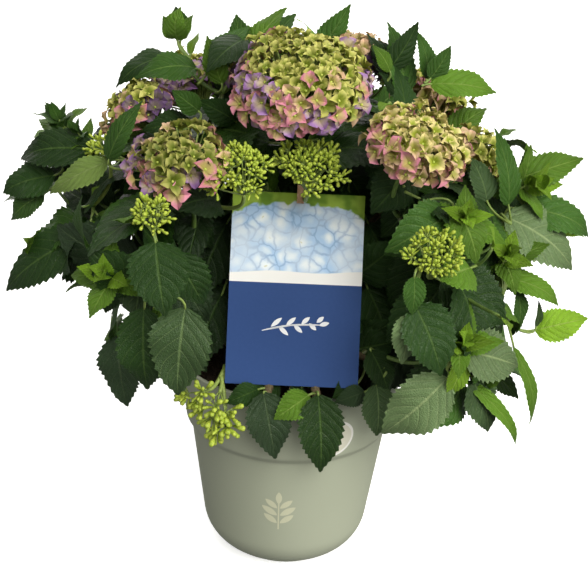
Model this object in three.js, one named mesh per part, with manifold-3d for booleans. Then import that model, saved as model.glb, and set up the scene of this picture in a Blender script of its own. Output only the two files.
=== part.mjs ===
// Mophead hydrangea in its pot, in millimetres, +Z up.
//
// The origin is the middle of the pot's flat underside, and -Y is the side with the label.
// A short woody stem stands on the compost. Canes fan out from it, and each cane ends where it
// enters a mass of leaves. The flower heads sit on the leaf masses. Leaf masses and flower heads
// are uneven rounded solids, cut back to the planes between them and their neighbours, so that
// they meet face to face.

import * as THREE from 'three';
import { mergeVertices } from 'three/addons/utils/BufferGeometryUtils.js';
import Module from 'manifold-3d';

const wasm = await Module();
wasm.setup();

// ---------------------------------------------------------------- driving dimensions

const GAP = 0.3;                 // clearance between solids that touch
const FRONT = -90;               // azimuth of the label side, degrees from +X towards +Y

// Pot: a moulded tub with a deep collar round its mouth.
const POT_HEIGHT = 228;
const RIM_RADIUS = 119.9;
const WALL_SLOPE = 0.142;        // how much the wall widens for each millimetre of height
const WALL = 2.5;
const FLOOR = 3;
const LIP = 4;                   // thickness of the rolled lip
const COLLAR_HEIGHT = 75;
const COLLAR_STEP = 4.5;         // how far the collar stands out from the wall below it
const STEP_HEIGHT = 5;
const BASE_ROUND = 47;           // radius of the rounding between wall and underside
const FOOT_RADIUS = 58;
const POT_SIDES = 32;

const COMPOST_TOP = 209;

// Stem and canes.
const STEM_HEIGHT = 34;
const STEM_TOP_RADIUS = 25;
const STEM_FLARE_RADIUS = 34;
const CANE_FOOT_RADIUS = 4.4;
const CANE_TIP_RADIUS = 2.8;
const OUTER_CANES_RADIUS = 18.5; // ring on the stem's top that the outer canes rise from
const INNER_CANES_RADIUS = 7.5;
const CANE_RISE = 0.55;          // share of its height that a cane climbs before it leans out
const LEAST_RISE = 14;           // how far the lowest canes are drawn upward as they start

// Label: a card that leans back, hooked on a stick that stands in the compost.
const CARD_WIDTH = 130;
const CARD_LENGTH = 189;
const CARD_THICKNESS = 1.2;
const CARD_X = 1.5;
const CARD_FOOT = [-116, 243];   // y and z of the card's lower edge
const CARD_LEAN = 25;            // degrees back from upright
const STICK_LEAN = 10.5;
const STICK_WIDTH = 7;
const STICK_THICKNESS = 3;
const STICK_X = 3;
const STICK_DEPTH = 60;          // how far the stick goes into the compost
const HOOK_DROP = 10;            // how far the hook comes down the card's face
const HOOK_RISE = 8;             // how far it stands over the card's upper edge

// Tiers of leaf masses, from the pot's rim up. A tier is laid out on both sides of the label:
// its first pair lies `first` degrees from the front, and each next pair `step` further round.
// half: half sizes of a mass outward, sideways and up; shift: the tier's middle off the axis.
const TIERS = [
  { name: 'skirt', pairs: 4, back: true, first: 33, step: 37, reach: 183, height: 262,
    half: [62, 66, 62], shift: [16, 4], droop: 24 },
  { name: 'flank', pairs: 3, back: true, first: 47, step: 44.5, reach: 206, height: 374,
    half: [72, 80, 68], shift: [0, 4], droop: 10 },
  { name: 'shoulder', pairs: 3, back: false, first: 52, step: 50, reach: 150, height: 446,
    half: [64, 68, 46], shift: [4, 16], droop: 0 },
  { name: 'crest', pairs: 1, back: true, first: 105, step: 75, reach: 112, height: 514,
    half: [60, 60, 46], shift: [0, -20], droop: -4 },
];

// Masses outside the tiers: the one behind the label, the leaves that hang over the pot's rim
// under it, and the young shoot that stands over the crown.
const SINGLE_MASSES = [
  { name: 'leaves_behind_label', at: [0, -14, 400], half: [58, 64, 98] },
  { name: 'leaves_over_rim_left', at: [-24, -140, 231], half: [15, 28, 54] },
  { name: 'leaves_over_rim_right', at: [30, -140, 231], half: [15, 24, 60] },
  { name: 'young_shoot', at: [-126, 34, 548], half: [16, 17, 26] },
];
const BROAD = 48;                // bodies with a half size over this get the finer facets

// Flower heads: middle, half width, half height, and lean outward from upright in degrees.
const FLOWER_HEADS = [
  { at: [-2, -58, 527], width: 71, height: 53, lean: 16 },
  { at: [105, -108, 488], width: 52, height: 40, lean: 24 },
  { at: [168, -22, 462], width: 42, height: 34, lean: 42 },
  { at: [-111, -108, 470], width: 51, height: 39, lean: 24 },
  { at: [-153, -12, 488], width: 46, height: 34, lean: 30 },
  { at: [54, 62, 528], width: 46, height: 36, lean: 16 },
  { at: [-62, 34, 514], width: 42, height: 34, lean: 16 },
  { at: [134, 92, 478], width: 46, height: 36, lean: 30 },
  { at: [-118, 120, 476], width: 50, height: 38, lean: 30 },
  { at: [10, 172, 474], width: 52, height: 40, lean: 32 },
];

// Tips of the longest leaves and buds, where they end past the masses' own rounding.
const LONG_TIPS = [
  [-126, 40, 582], [-183, 0, 503], [-15, 60, 572], [44, 96, 586], [110, 40, 562],
  [196, 40, 503], [280, -20, 458], [297, -40, 291], [290, -20, 399], [252, -40, 160],
  [-239, 0, 480],
  [218, -60, 179], [-296, 0, 392], [-290, 0, 365], [-296, -20, 288], [-176, -40, 174],
  [-11, -142, 173], [34, -143, 163], [60, 292, 300], [-90, 280, 345], [200, 214, 330],
];
const SHORT_TIP = 1.14;          // how far every mass's own outermost leaf stands out

// ---------------------------------------------------------------- materials

function finish(color, roughness) {
  return new THREE.MeshStandardMaterial({ color, roughness, metalness: 0 });
}

const POT_PLASTIC = finish('#8d9a86', 0.6);
const COMPOST = finish('#2c211a', 0.95);
const BARK = finish('#7a6a4a', 0.85);
const CARD = finish('#30497f', 0.45);
const STICK_WOOD = finish('#d99b77', 0.7);
const LEAF_TONES = ['#2f5a26', '#3a6a2b', '#466f35', '#2a4f2a'];
const PETAL_TONES = ['#c78fb6', '#d3a0b4', '#b9b95f', '#a48ac0', '#b08fb8'];

// ---------------------------------------------------------------- helpers

const degrees = THREE.MathUtils.degToRad;

// A point that lies `reach` from the Z axis, at an azimuth in degrees and a height.
function polar(azimuth, reach, height) {
  const turn = degrees(azimuth);
  return new THREE.Vector3(reach * Math.cos(turn), reach * Math.sin(turn), height);
}

// Only positions, with the vertices shared, as a closed solid needs.
function welded(geometry) {
  geometry.deleteAttribute('normal');
  geometry.deleteAttribute('uv');
  return mergeVertices(geometry, 1e-4);
}

function toManifold(geometry) {
  const mesh = new wasm.Mesh({
    numProp: 3,
    vertProperties: new Float32Array(geometry.attributes.position.array),
    triVerts: new Uint32Array(geometry.index.array),
  });
  return new wasm.Manifold(mesh);
}

function fromManifold(manifold) {
  const mesh = manifold.getMesh();
  const geometry = new THREE.BufferGeometry();
  geometry.setAttribute('position', new THREE.BufferAttribute(mesh.vertProperties, 3));
  geometry.setIndex(new THREE.BufferAttribute(mesh.triVerts, 1));
  return geometry;
}

// A profile of [radius, height] pairs turned about the Z axis.
function turned(profile, sides) {
  const points = profile.map(([radius, height]) => new THREE.Vector2(radius, height));
  const geometry = new THREE.LatheGeometry(points, sides);
  geometry.rotateX(Math.PI / 2);
  return welded(geometry);
}

// An outline of [y, z] pairs carried along X, centred on `x`.
function extrudedAcross(outline, width, x) {
  const shape = new THREE.Shape(outline.map(([y, z]) => new THREE.Vector2(y, z)));
  const geometry = new THREE.ExtrudeGeometry(shape, { depth: width, bevelEnabled: false });
  geometry.translate(0, 0, -width / 2);
  geometry.applyMatrix4(new THREE.Matrix4().makeBasis(
    new THREE.Vector3(0, 1, 0), new THREE.Vector3(0, 0, 1), new THREE.Vector3(1, 0, 0)));
  geometry.translate(x, 0, 0);
  return welded(geometry);
}

const plant = new THREE.Group();

function add(name, geometry, material) {
  const mesh = new THREE.Mesh(geometry, material);
  mesh.name = name;
  plant.add(mesh);
}

// ---------------------------------------------------------------- pot and compost

const COLLAR_FOOT = POT_HEIGHT - COLLAR_HEIGHT - STEP_HEIGHT;
const ROUND_CENTRE = wallRadius(BASE_ROUND) - BASE_ROUND * Math.hypot(1, WALL_SLOPE);

// Radius of the pot's outside at a height: a straight cone, set in below the collar.
function wallRadius(height) {
  const step = height <= COLLAR_FOOT ? COLLAR_STEP : 0;
  return RIM_RADIUS - WALL_SLOPE * (POT_HEIGHT - height) - step;
}

// The rounded foot of the wall, drawn `inset` inside the outer surface, from a height up.
function footArc(inset, fromHeight) {
  const radius = BASE_ROUND - inset;
  const start = Math.acos((BASE_ROUND - fromHeight) / radius);
  const end = Math.PI / 2 - Math.atan(WALL_SLOPE);
  const steps = 5;
  return Array.from({ length: steps + 1 }, (_, i) => {
    const angle = start + (end - start) * i / steps;
    return [ROUND_CENTRE + radius * Math.sin(angle), BASE_ROUND - radius * Math.cos(angle)];
  });
}

// The wall drawn `inset` inside the outer surface, from the floor's middle up to a height.
function wallProfile(inset, floor, top) {
  const collar = POT_HEIGHT - COLLAR_HEIGHT;
  return [
    [0, floor],
    ...footArc(inset, floor),
    [wallRadius(COLLAR_FOOT) - inset, COLLAR_FOOT],
    [wallRadius(collar) - inset, collar],
    [wallRadius(top) - inset, top],
  ];
}

function pot() {
  const footHeight = BASE_ROUND - Math.sqrt(BASE_ROUND ** 2 - (FOOT_RADIUS - ROUND_CENTRE) ** 2);
  const bead = 1.4;
  const outside = [
    [0, 0],
    [FOOT_RADIUS, 0],
    ...footArc(0, footHeight),
    [wallRadius(COLLAR_FOOT), COLLAR_FOOT],
    [wallRadius(POT_HEIGHT - COLLAR_HEIGHT), POT_HEIGHT - COLLAR_HEIGHT],
    [RIM_RADIUS, POT_HEIGHT - bead],
    [RIM_RADIUS - bead, POT_HEIGHT],
    [RIM_RADIUS - LIP + bead, POT_HEIGHT],
    [RIM_RADIUS - LIP, POT_HEIGHT - bead],
  ];
  const inside = wallProfile(WALL, FLOOR, POT_HEIGHT - 2 * LIP).reverse();
  return turned([...outside, ...inside], POT_SIDES);
}

// The compost fills the pot to COMPOST_TOP, with a slot where the label's stick goes in.
function compost(stick) {
  const profile = [...wallProfile(WALL + GAP, FLOOR + GAP, COMPOST_TOP), [0, COMPOST_TOP]];
  const plug = toManifold(turned(profile, POT_SIDES));
  return fromManifold(plug.subtract(toManifold(stick)));
}

// ---------------------------------------------------------------- label

const cardUp = [Math.sin(degrees(CARD_LEAN)), Math.cos(degrees(CARD_LEAN))];
const cardOut = [-cardUp[1], cardUp[0]];
const stickUp = [Math.sin(degrees(STICK_LEAN)), Math.cos(degrees(STICK_LEAN))];

// A [y, z] point that lies `along` up the card from its lower edge and `out` from its middle.
function onCard(along, out) {
  return [0, 1].map((k) => CARD_FOOT[k] + cardUp[k] * along + cardOut[k] * out);
}

function labelCard() {
  const half = CARD_THICKNESS / 2;
  const outline = [
    onCard(0, -half), onCard(CARD_LENGTH, -half), onCard(CARD_LENGTH, half), onCard(0, half),
  ];
  return extrudedAcross(outline, CARD_WIDTH, CARD_X);
}

// The stick runs down behind the card into the compost, and hooks over the card's upper edge.
// `spare` grows it on every side, for the slot that it is pushed into.
function labelStick(spare) {
  const face = CARD_THICKNESS / 2 + GAP - spare;
  const top = onCard(CARD_LENGTH, -face);
  const down = (top[1] - COMPOST_TOP + STICK_DEPTH + spare) / stickUp[1];
  const below = (out) => [
    top[0] - stickUp[0] * down + stickUp[1] * out,
    top[1] - stickUp[1] * down - stickUp[0] * out,
  ];
  const outline = [
    below(0),
    below(STICK_THICKNESS + 2 * spare),
    onCard(CARD_LENGTH, -face - STICK_THICKNESS - 2 * spare),
    onCard(CARD_LENGTH + HOOK_RISE, -face - STICK_THICKNESS),
    onCard(CARD_LENGTH + HOOK_RISE, face + STICK_THICKNESS),
    onCard(CARD_LENGTH - HOOK_DROP, face + STICK_THICKNESS),
    onCard(CARD_LENGTH - HOOK_DROP, face),
    onCard(CARD_LENGTH + GAP, face),
    onCard(CARD_LENGTH + GAP, -face),
  ];
  return extrudedAcross(outline, STICK_WIDTH + 2 * spare, STICK_X);
}

// ---------------------------------------------------------------- leaf masses, flower heads

// A rounded body: its middle, its own axes (outward, sideways, up) and half sizes along them.
function roundedBody(name, centre, half, azimuth, droop, material) {
  const outward = polar(azimuth, Math.cos(degrees(droop)), -Math.sin(degrees(droop)));
  const sideways = polar(azimuth + 90, 1, 0);
  const up = new THREE.Vector3().crossVectors(outward, sideways);
  return { name, centre, half, axes: [outward, sideways, up], under: 1, tips: [], material };
}

function azimuthOf(point) {
  return THREE.MathUtils.radToDeg(Math.atan2(point.y, point.x));
}

// A tier's masses: pairs to the left and right of the front, and one at the back. The sizes
// and heights of neighbours differ a little, by a wave along the row.
function tierBodies(tier, tierIndex) {
  const offsets = [];
  for (let pair = 0; pair < tier.pairs; pair += 1) {
    offsets.push(tier.first + pair * tier.step, -tier.first - pair * tier.step);
  }
  if (tier.back) {
    offsets.push(180);
  }
  return offsets.map((offset, i) => {
    const wave = Math.sin(2.4 * i + 1.7 * tierIndex);
    const centre = polar(FRONT + offset + 3 * wave, tier.reach * (1 + 0.04 * wave), 0);
    centre.add(new THREE.Vector3(...tier.shift, tier.height + 9 * Math.cos(3.1 * i + tierIndex)));
    const half = tier.half.map((size, k) => size * (1 + 0.06 * Math.sin(4.3 * i + 2 * k)));
    const tone = finish(LEAF_TONES[(i + tierIndex) % LEAF_TONES.length], 0.55);
    return roundedBody(`${tier.name}_leaves_${i + 1}`, centre, half, azimuthOf(centre),
      tier.droop, tone);
  });
}

function singleBody({ name, at, half }, i) {
  const centre = new THREE.Vector3(...at);
  return roundedBody(name, centre, half, FRONT, 0, finish(LEAF_TONES[i], 0.55));
}

// A flower head is a dome: round above, and flatter below.
function flowerBody({ at, width, height, lean }, i) {
  const centre = new THREE.Vector3(...at);
  const tone = finish(PETAL_TONES[i % PETAL_TONES.length], 0.7);
  const body = roundedBody(`flower_head_${i + 1}`, centre, [width, width, height],
    azimuthOf(centre), lean, tone);
  body.under = 0.9;
  return body;
}

// How far the plain ellipsoid of a body extends along a unit direction.
function extent(body, way) {
  return Math.hypot(...body.axes.map((axis, k) => body.half[k] * axis.dot(way)));
}

// Planes that keep a body off its neighbours, as a direction and a distance from its middle.
function neighbourPlanes(body, bodies) {
  return bodies.filter((other) => other !== body).map((other) => {
    const way = other.centre.clone().sub(body.centre);
    const apart = way.length();
    way.divideScalar(apart);
    const share = extent(body, way) / (extent(body, way) + extent(other, way));
    return { way, limit: apart * share - GAP / 2 };
  });
}

// The plane through a point that keeps a body on its own side, facing along `way`.
function planeThrough(body, point, way) {
  return { way, limit: way.dot(point) - way.dot(body.centre) - GAP };
}

// Planes that keep a body clear of the pot's rim, of the card and of its stick.
function fixturePlanes(body) {
  const planes = [];
  const { centre } = body;
  const azimuth = azimuthOf(centre);
  if (Math.hypot(centre.x, centre.y) > RIM_RADIUS) {
    const steep = degrees(18);
    const inward = polar(azimuth, -Math.cos(steep), -Math.sin(steep));
    planes.push(planeThrough(body, polar(azimuth, RIM_RADIUS, POT_HEIGHT), inward));
  }
  const [backY, topZ] = onCard(CARD_LENGTH + HOOK_RISE, -CARD_THICKNESS - STICK_THICKNESS);
  if (centre.y > 0 || centre.z - body.half[2] > topZ) {
    return planes;
  }
  if (Math.abs(centre.x) > CARD_WIDTH / 2) {
    const side = Math.sign(centre.x);
    const edge = new THREE.Vector3(CARD_X + side * CARD_WIDTH / 2, 0, 0);
    planes.push(planeThrough(body, edge, new THREE.Vector3(-side, 0, 0)));
  } else if (centre.z < CARD_FOOT[1]) {
    const up = new THREE.Vector3(0, 0, 1);
    planes.push(planeThrough(body, new THREE.Vector3(0, 0, CARD_FOOT[1] - 1), up));
  } else {
    const forward = new THREE.Vector3(0, -stickUp[1], stickUp[0]);
    planes.push(planeThrough(body, new THREE.Vector3(0, backY + GAP, topZ), forward));
  }
  return planes;
}

// The furthest that a body may reach along a unit direction before it meets a plane.
function reachWithin(planes, direction) {
  const reaches = planes.map(({ way, limit }) => {
    const slant = way.dot(direction);
    return slant > 1e-6 ? limit / slant : Infinity;
  });
  return Math.min(...reaches);
}

// Uneven surface: a few waves across the direction, different on every body.
function unevenness(direction, seed) {
  const { x, y, z } = direction;
  const coarse = Math.sin(3.1 * x + 4.2 * z + seed) * Math.cos(3.7 * y - 2.3 * x + 2 * seed);
  const fine = Math.sin(7.3 * x - 5.9 * y + 3 * seed) * Math.cos(6.1 * z + 5 * y - seed);
  return 1 + 0.12 * coarse + 0.09 * fine;
}

// The body's surface: rounded and uneven, inside its planes, and drawn out at its leaf tips.
// `spare` grows it, for what is cut to fit against it.
function bodyGeometry(body, seed, spare) {
  const detail = Math.max(...body.half) > BROAD ? 2 : 1;
  const geometry = welded(new THREE.IcosahedronGeometry(1, detail));
  const position = geometry.attributes.position;
  const directions = Array.from({ length: position.count },
    (_, i) => new THREE.Vector3().fromBufferAttribute(position, i).normalize());
  const reaches = directions.map((direction) => {
    const share = body.axes.map((axis, k) => {
      const along = axis.dot(direction);
      return along / (body.half[k] * (k === 2 && along < 0 ? body.under : 1));
    });
    return Math.min(unevenness(direction, seed) / Math.hypot(...share),
      reachWithin(body.planes, direction));
  });
  for (const tip of body.tips) {
    const way = tip.clone().sub(body.centre);
    const length = way.length();
    way.divideScalar(length);
    const nearest = directions.reduce(
      (best, direction, i) => (direction.dot(way) > directions[best].dot(way) ? i : best), 0);
    directions[nearest] = way;
    reaches[nearest] = Math.min(length, reachWithin(body.planes, way));
  }
  directions.forEach((direction, i) => {
    const point = direction.clone().multiplyScalar(reaches[i] + spare).add(body.centre);
    position.setXYZ(i, point.x, point.y, point.z);
  });
  return geometry;
}

// A long tip belongs to the leaf mass whose planes hold it with the most to spare.
function giveTip(bodies, tip) {
  const slack = (body) => Math.min(...body.planes.map(
    ({ way, limit }) => limit - way.dot(tip.clone().sub(body.centre))));
  bodies.reduce((best, body) => (slack(body) > slack(best) ? body : best)).tips.push(tip);
}

const leafBodies = [
  ...TIERS.flatMap(tierBodies),
  ...SINGLE_MASSES.map(singleBody),
];
const flowerBodies = FLOWER_HEADS.map(flowerBody);
const crown = [...leafBodies, ...flowerBodies];
for (const body of crown) {
  body.planes = [...neighbourPlanes(body, crown), ...fixturePlanes(body)];
}
for (const body of leafBodies) {
  const tip = body.axes[0].clone().multiplyScalar(body.half[0] * SHORT_TIP).add(body.centre);
  body.tips.push(tip);
}
for (const [x, y, z] of LONG_TIPS) {
  giveTip(leafBodies, new THREE.Vector3(x, y, z));
}

// ---------------------------------------------------------------- stem and canes

const stemFoot = COMPOST_TOP + GAP;
const stemTop = stemFoot + STEM_HEIGHT;

// The stem: a short stump that flares at the compost, a little uneven round its girth.
function stem() {
  const geometry = welded(
    new THREE.CylinderGeometry(STEM_TOP_RADIUS, STEM_FLARE_RADIUS, STEM_HEIGHT, 14, 4));
  geometry.rotateX(Math.PI / 2);
  geometry.translate(0, 0, stemFoot + STEM_HEIGHT / 2);
  const position = geometry.attributes.position;
  for (let i = 0; i < position.count; i += 1) {
    const up = (position.getZ(i) - stemFoot) / STEM_HEIGHT;
    const turn = Math.atan2(position.getY(i), position.getX(i));
    const waist = 1 - 0.22 * Math.sin(Math.PI * up) + 0.05 * Math.sin(5 * turn) * (1 - up);
    position.setXY(i, position.getX(i) * waist, position.getY(i) * waist);
  }
  return geometry;
}

// A cane from a place on the stem's top to the middle of a body, tapering as it goes: a round
// bar whose length is laid along a curve that first climbs and then leans out.
function caneBar(foot, target) {
  const climb = Math.max(CANE_RISE * (target.z - foot.z), LEAST_RISE);
  const rise = new THREE.Vector3(foot.x, foot.y, foot.z + climb);
  const curve = new THREE.QuadraticBezierCurve3(foot, rise, target);
  const steps = 7;
  const bar = welded(new THREE.CylinderGeometry(CANE_TIP_RADIUS, CANE_FOOT_RADIUS, 1, 6, steps));
  const position = bar.attributes.position;
  const frames = curve.computeFrenetFrames(steps);
  for (let i = 0; i < position.count; i += 1) {
    const step = Math.round((position.getY(i) + 0.5) * steps);
    const point = curve.getPointAt(step / steps);
    point.addScaledVector(frames.normals[step], position.getX(i));
    point.addScaledVector(frames.binormals[step], -position.getZ(i));
    position.setXYZ(i, point.x, point.y, point.z);
  }
  return toManifold(bar);
}

// The part of a cane outside the leaf masses that still stands on the stem.
function cane(foot, target, masses) {
  const pieces = masses.reduce((bar, mass) => bar.subtract(mass), caneBar(foot, target))
    .decompose();
  const lowest = (piece) => piece.boundingBox().min[2];
  return fromManifold(pieces.reduce((a, b) => (lowest(b) < lowest(a) ? b : a)));
}

// Feet spread evenly round a ring on the stem's top, in the order of the canes' azimuths.
function ringOfCanes(names, ringRadius, firstAzimuth) {
  const around = (body) => (azimuthOf(body.centre) + 360 - firstAzimuth) % 360;
  const targets = crown.filter((body) => names.includes(body.name))
    .sort((a, b) => around(a) - around(b));
  return targets.map((body, i) => {
    const azimuth = firstAzimuth + (i + 0.5) * 360 / targets.length;
    return { body, foot: polar(azimuth, ringRadius, stemTop + GAP) };
  });
}

// ---------------------------------------------------------------- assembly

const outerTargets = [
  'skirt_leaves_1', 'skirt_leaves_4', 'skirt_leaves_5', 'skirt_leaves_8',
  'flank_leaves_3', 'flank_leaves_4', 'flank_leaves_5', 'flank_leaves_6', 'flank_leaves_7',
  'leaves_over_rim_left', 'leaves_over_rim_right',
];
const innerTargets = [
  'crest_leaves_1', 'crest_leaves_2', 'crest_leaves_3', 'leaves_behind_label',
];

add('pot', pot(), POT_PLASTIC);
add('compost', compost(labelStick(GAP)), COMPOST);
add('stem', stem(), BARK);
add('label_card', labelCard(), CARD);
add('label_stick', labelStick(0), STICK_WOOD);

crown.forEach((body, i) => {
  add(body.name, bodyGeometry(body, i, 0), body.material);
});

const grownMasses = crown.map((body, i) => toManifold(bodyGeometry(body, i, 1.5 * GAP)));
const canes = [
  ...ringOfCanes(outerTargets, OUTER_CANES_RADIUS, FRONT),
  ...ringOfCanes(innerTargets, INNER_CANES_RADIUS, FRONT),
];
canes.forEach(({ body, foot }, i) => {
  add(`cane_${i + 1}`, cane(foot, body.centre, grownMasses), BARK);
});

export default plant;
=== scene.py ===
import bpy
import numpy as np
from mathutils import Matrix, Vector
from mathutils.bvhtree import BVHTree


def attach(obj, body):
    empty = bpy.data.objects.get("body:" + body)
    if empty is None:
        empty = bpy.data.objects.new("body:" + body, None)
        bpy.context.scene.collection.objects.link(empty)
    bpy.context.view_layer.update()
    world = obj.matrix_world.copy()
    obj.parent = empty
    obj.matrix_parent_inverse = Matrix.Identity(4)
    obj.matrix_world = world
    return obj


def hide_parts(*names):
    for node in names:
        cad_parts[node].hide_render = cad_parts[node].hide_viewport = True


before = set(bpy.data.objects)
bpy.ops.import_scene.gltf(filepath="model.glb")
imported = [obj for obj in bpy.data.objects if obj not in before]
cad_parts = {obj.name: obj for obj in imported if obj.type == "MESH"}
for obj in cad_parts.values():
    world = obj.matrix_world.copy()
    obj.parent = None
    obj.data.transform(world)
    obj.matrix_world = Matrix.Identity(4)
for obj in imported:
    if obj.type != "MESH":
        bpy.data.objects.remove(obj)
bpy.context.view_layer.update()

# ------------------------------------------------------------------ floor, light and camera
# The plant stands on a pale studio floor that curves up into a pale wall all round. Broad
# lamps stand in front, to the right and behind, a weak one to the left, and the sky fills in.

MM = 0.001                       # sizes of the plant and its pot are in millimetres
FLOOR_RADIUS = 6.0               # metres, as the floor's other sizes
FLOOR_MIDDLE = 0.5               # radius of the disc in the middle of the floor
FLOOR_SEGMENTS = 64
BEND_RADIUS = 1.0                # of the curve between floor and wall
BEND_RINGS = 7
WALL_HEIGHT = 7.0
FLOOR_GLOW = 0.60

CAMERA_DISTANCE = 1.6            # metres from the middle of the pot's underside
CAMERA_ELEVATION = 32.84         # degrees of that line over the floor
CAMERA_PITCH = 22.73             # degrees that the camera looks down
CAMERA_ROLL = -2.40
PICTURE_WIDTH = 588
PICTURE_HEIGHT = 564
FOCAL_PIXELS = 1406
SENSOR_WIDTH = 36.0              # millimetres

# Each lamp: strength, degrees across, and the direction that it stands in.
LAMPS = {
    "front_lamp": (2.35, 34.0, (0.34, -0.93, 0.84)),
    "side_lamp": (2.20, 36.0, (0.87, -0.50, 0.36)),
    "left_lamp": (0.45, 60.0, (-0.85, -0.60, 0.25)),
    "back_lamp": (1.90, 60.0, (-0.20, 0.95, 0.50)),
}
LAMP_COLOUR = (1.0, 0.98, 0.93)
SKY_COLOUR = (1.0, 1.0, 0.97, 1.0)
SKY_STRENGTH = 0.22


class Shader:
    """Builds one node material. Each method adds a node and returns its output socket."""

    def __init__(self, name, **settings):
        self.material = bpy.data.materials.new(name)
        self.material.use_nodes = True
        self.nodes = self.material.node_tree.nodes
        self.links = self.material.node_tree.links
        self.surface = self.nodes["Principled BSDF"]
        for socket in self.surface.inputs:
            key = socket.name.lower().replace(" ", "_")
            if key in settings:
                socket.default_value = settings[key]

    def node(self, kind, output, **inputs):
        """Adds a node; inputs are named or numbered sockets, linked or set."""
        node = self.nodes.new(kind)
        for key, value in inputs.items():
            socket = node.inputs[int(key[1:])] if key[1:].isdigit() else node.inputs[key]
            if isinstance(value, bpy.types.NodeSocket):
                self.links.new(value, socket)
            else:
                socket.default_value = value
        return node.outputs[output]

    def math(self, operation, a, b=0.0):
        """The operation on one or two numbers."""
        socket = self.node("ShaderNodeMath", 0, _0=a, _1=b)
        socket.node.operation = operation
        return socket

    def vector_math(self, operation, a, b, output=0):
        """The operation on two vectors; output 1 is the number that a dot product gives."""
        socket = self.node("ShaderNodeVectorMath", output, _0=a, _1=b)
        socket.node.operation = operation
        return socket

    def ramp(self, value, low, high, to_low=0.0, to_high=1.0):
        """A smooth step of value from to_low at low to to_high at high."""
        socket = self.node("ShaderNodeMapRange", 0, Value=value)
        socket.node.interpolation_type = "SMOOTHSTEP"
        for name, number in (("From Min", low), ("From Max", high),
                             ("To Min", to_low), ("To Max", to_high)):
            socket.node.inputs[name].default_value = number
        return socket

    def mix(self, factor, a, b):
        """The colour a (1 - factor) + b factor; a and b are sockets or three numbers."""
        socket = self.node("ShaderNodeMix", 2)
        node = socket.node
        node.data_type = "RGBA"
        for index, value in ((0, factor), (6, a), (7, b)):
            if isinstance(value, bpy.types.NodeSocket):
                self.links.new(value, node.inputs[index])
            else:
                node.inputs[index].default_value = value if index == 0 else (*value, 1.0)
        return socket

    def place(self):
        """Object coordinates, in metres."""
        return self.nodes.new("ShaderNodeTexCoord").outputs["Object"]

    def noise(self, vector, scale, detail=3.0, roughness=0.5):
        """Cloudy noise from 0 to 1, with about `scale` clouds to one unit of the vector."""
        return self.node("ShaderNodeTexNoise", 0, Vector=vector, Scale=scale, Detail=detail,
                         Roughness=roughness)

    def stretched(self, vector, scale):
        """The vector scaled by its own factor along each axis."""
        return self.node("ShaderNodeMapping", 0, Vector=vector, Scale=scale)

    def bump(self, height, depth, strength):
        """Relief of `depth` metres, strength kept on the node's own socket."""
        return self.node("ShaderNodeBump", 0, Height=height, Distance=depth, Strength=strength)

    def finish(self, colour, roughness=None, normal=None):
        """Links what is given to the surface, and returns the material."""
        for socket, value in (("Base Color", colour), ("Roughness", roughness),
                              ("Normal", normal)):
            if value is not None:
                self.links.new(value, self.surface.inputs[socket])
        return self.material


def new_piece(name, points, faces, material, uv=None, flat=False):
    """A mesh object from points (n, 3) in metres and arrays of faces. `uv` gives each point's
    place on the map OFBake, and `flat` leaves the faces unsmoothed."""
    mesh = bpy.data.meshes.new(name)
    mesh.from_pydata(np.asarray(points).tolist(), [],
                     [face for block in faces for face in np.asarray(block).tolist()])
    mesh.materials.append(material)
    if uv is not None:
        corner_point = np.empty(len(mesh.loops), np.int32)
        mesh.loops.foreach_get("vertex_index", corner_point)
        layer = mesh.uv_layers.new(name="OFBake")
        layer.data.foreach_set("uv", np.asarray(uv)[corner_point].ravel().astype(np.float32))
    mesh.polygons.foreach_set("use_smooth", np.full(len(mesh.polygons), not flat))
    mesh.update()
    piece = bpy.data.objects.new(name, mesh)
    bpy.context.scene.collection.objects.link(piece)
    return piece


def floor_finish():
    """Pale matt paint that glows a little, with a faint cloudy grain."""
    shader = Shader("pale_floor", roughness=0.8, emission_strength=FLOOR_GLOW,
                    emission_color=(1.0, 1.0, 1.0, 1.0))
    grain = shader.noise(shader.place(), 40.0)
    colour = shader.mix(grain, (0.86, 0.86, 0.86), (0.90, 0.90, 0.90))
    return shader.finish(colour)


# A profile of radius and height turned about Z: middle disc, quarter round and upright wall.
turn = np.arange(FLOOR_SEGMENTS) * 2 * np.pi / FLOOR_SEGMENTS
bend = np.radians(np.linspace(0, 90, BEND_RINGS))
quarter_round = np.column_stack([FLOOR_RADIUS + BEND_RADIUS * np.sin(bend),
                                 BEND_RADIUS * (1 - np.cos(bend))])
floor_profile = np.vstack([[[FLOOR_MIDDLE, 0.0]], quarter_round,
                           [[FLOOR_RADIUS + BEND_RADIUS, WALL_HEIGHT]]])
rings = np.stack([floor_profile[:, :1] * np.cos(turn), floor_profile[:, :1] * np.sin(turn),
                  floor_profile[:, 1:] + 0 * turn], -1).reshape(-1, 3)
row = np.arange(len(floor_profile) - 1)[:, None] * FLOOR_SEGMENTS
next_row = row + FLOOR_SEGMENTS
around = np.arange(FLOOR_SEGMENTS)
after = (around + 1) % FLOOR_SEGMENTS
floor_faces = np.stack([row + around, next_row + around, next_row + after, row + after], -1)
floor = new_piece("floor", rings, [floor_faces.reshape(-1, 4), [around]], floor_finish())
floor.visible_diffuse = False
floor.visible_glossy = False
floor.visible_shadow = False

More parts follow.
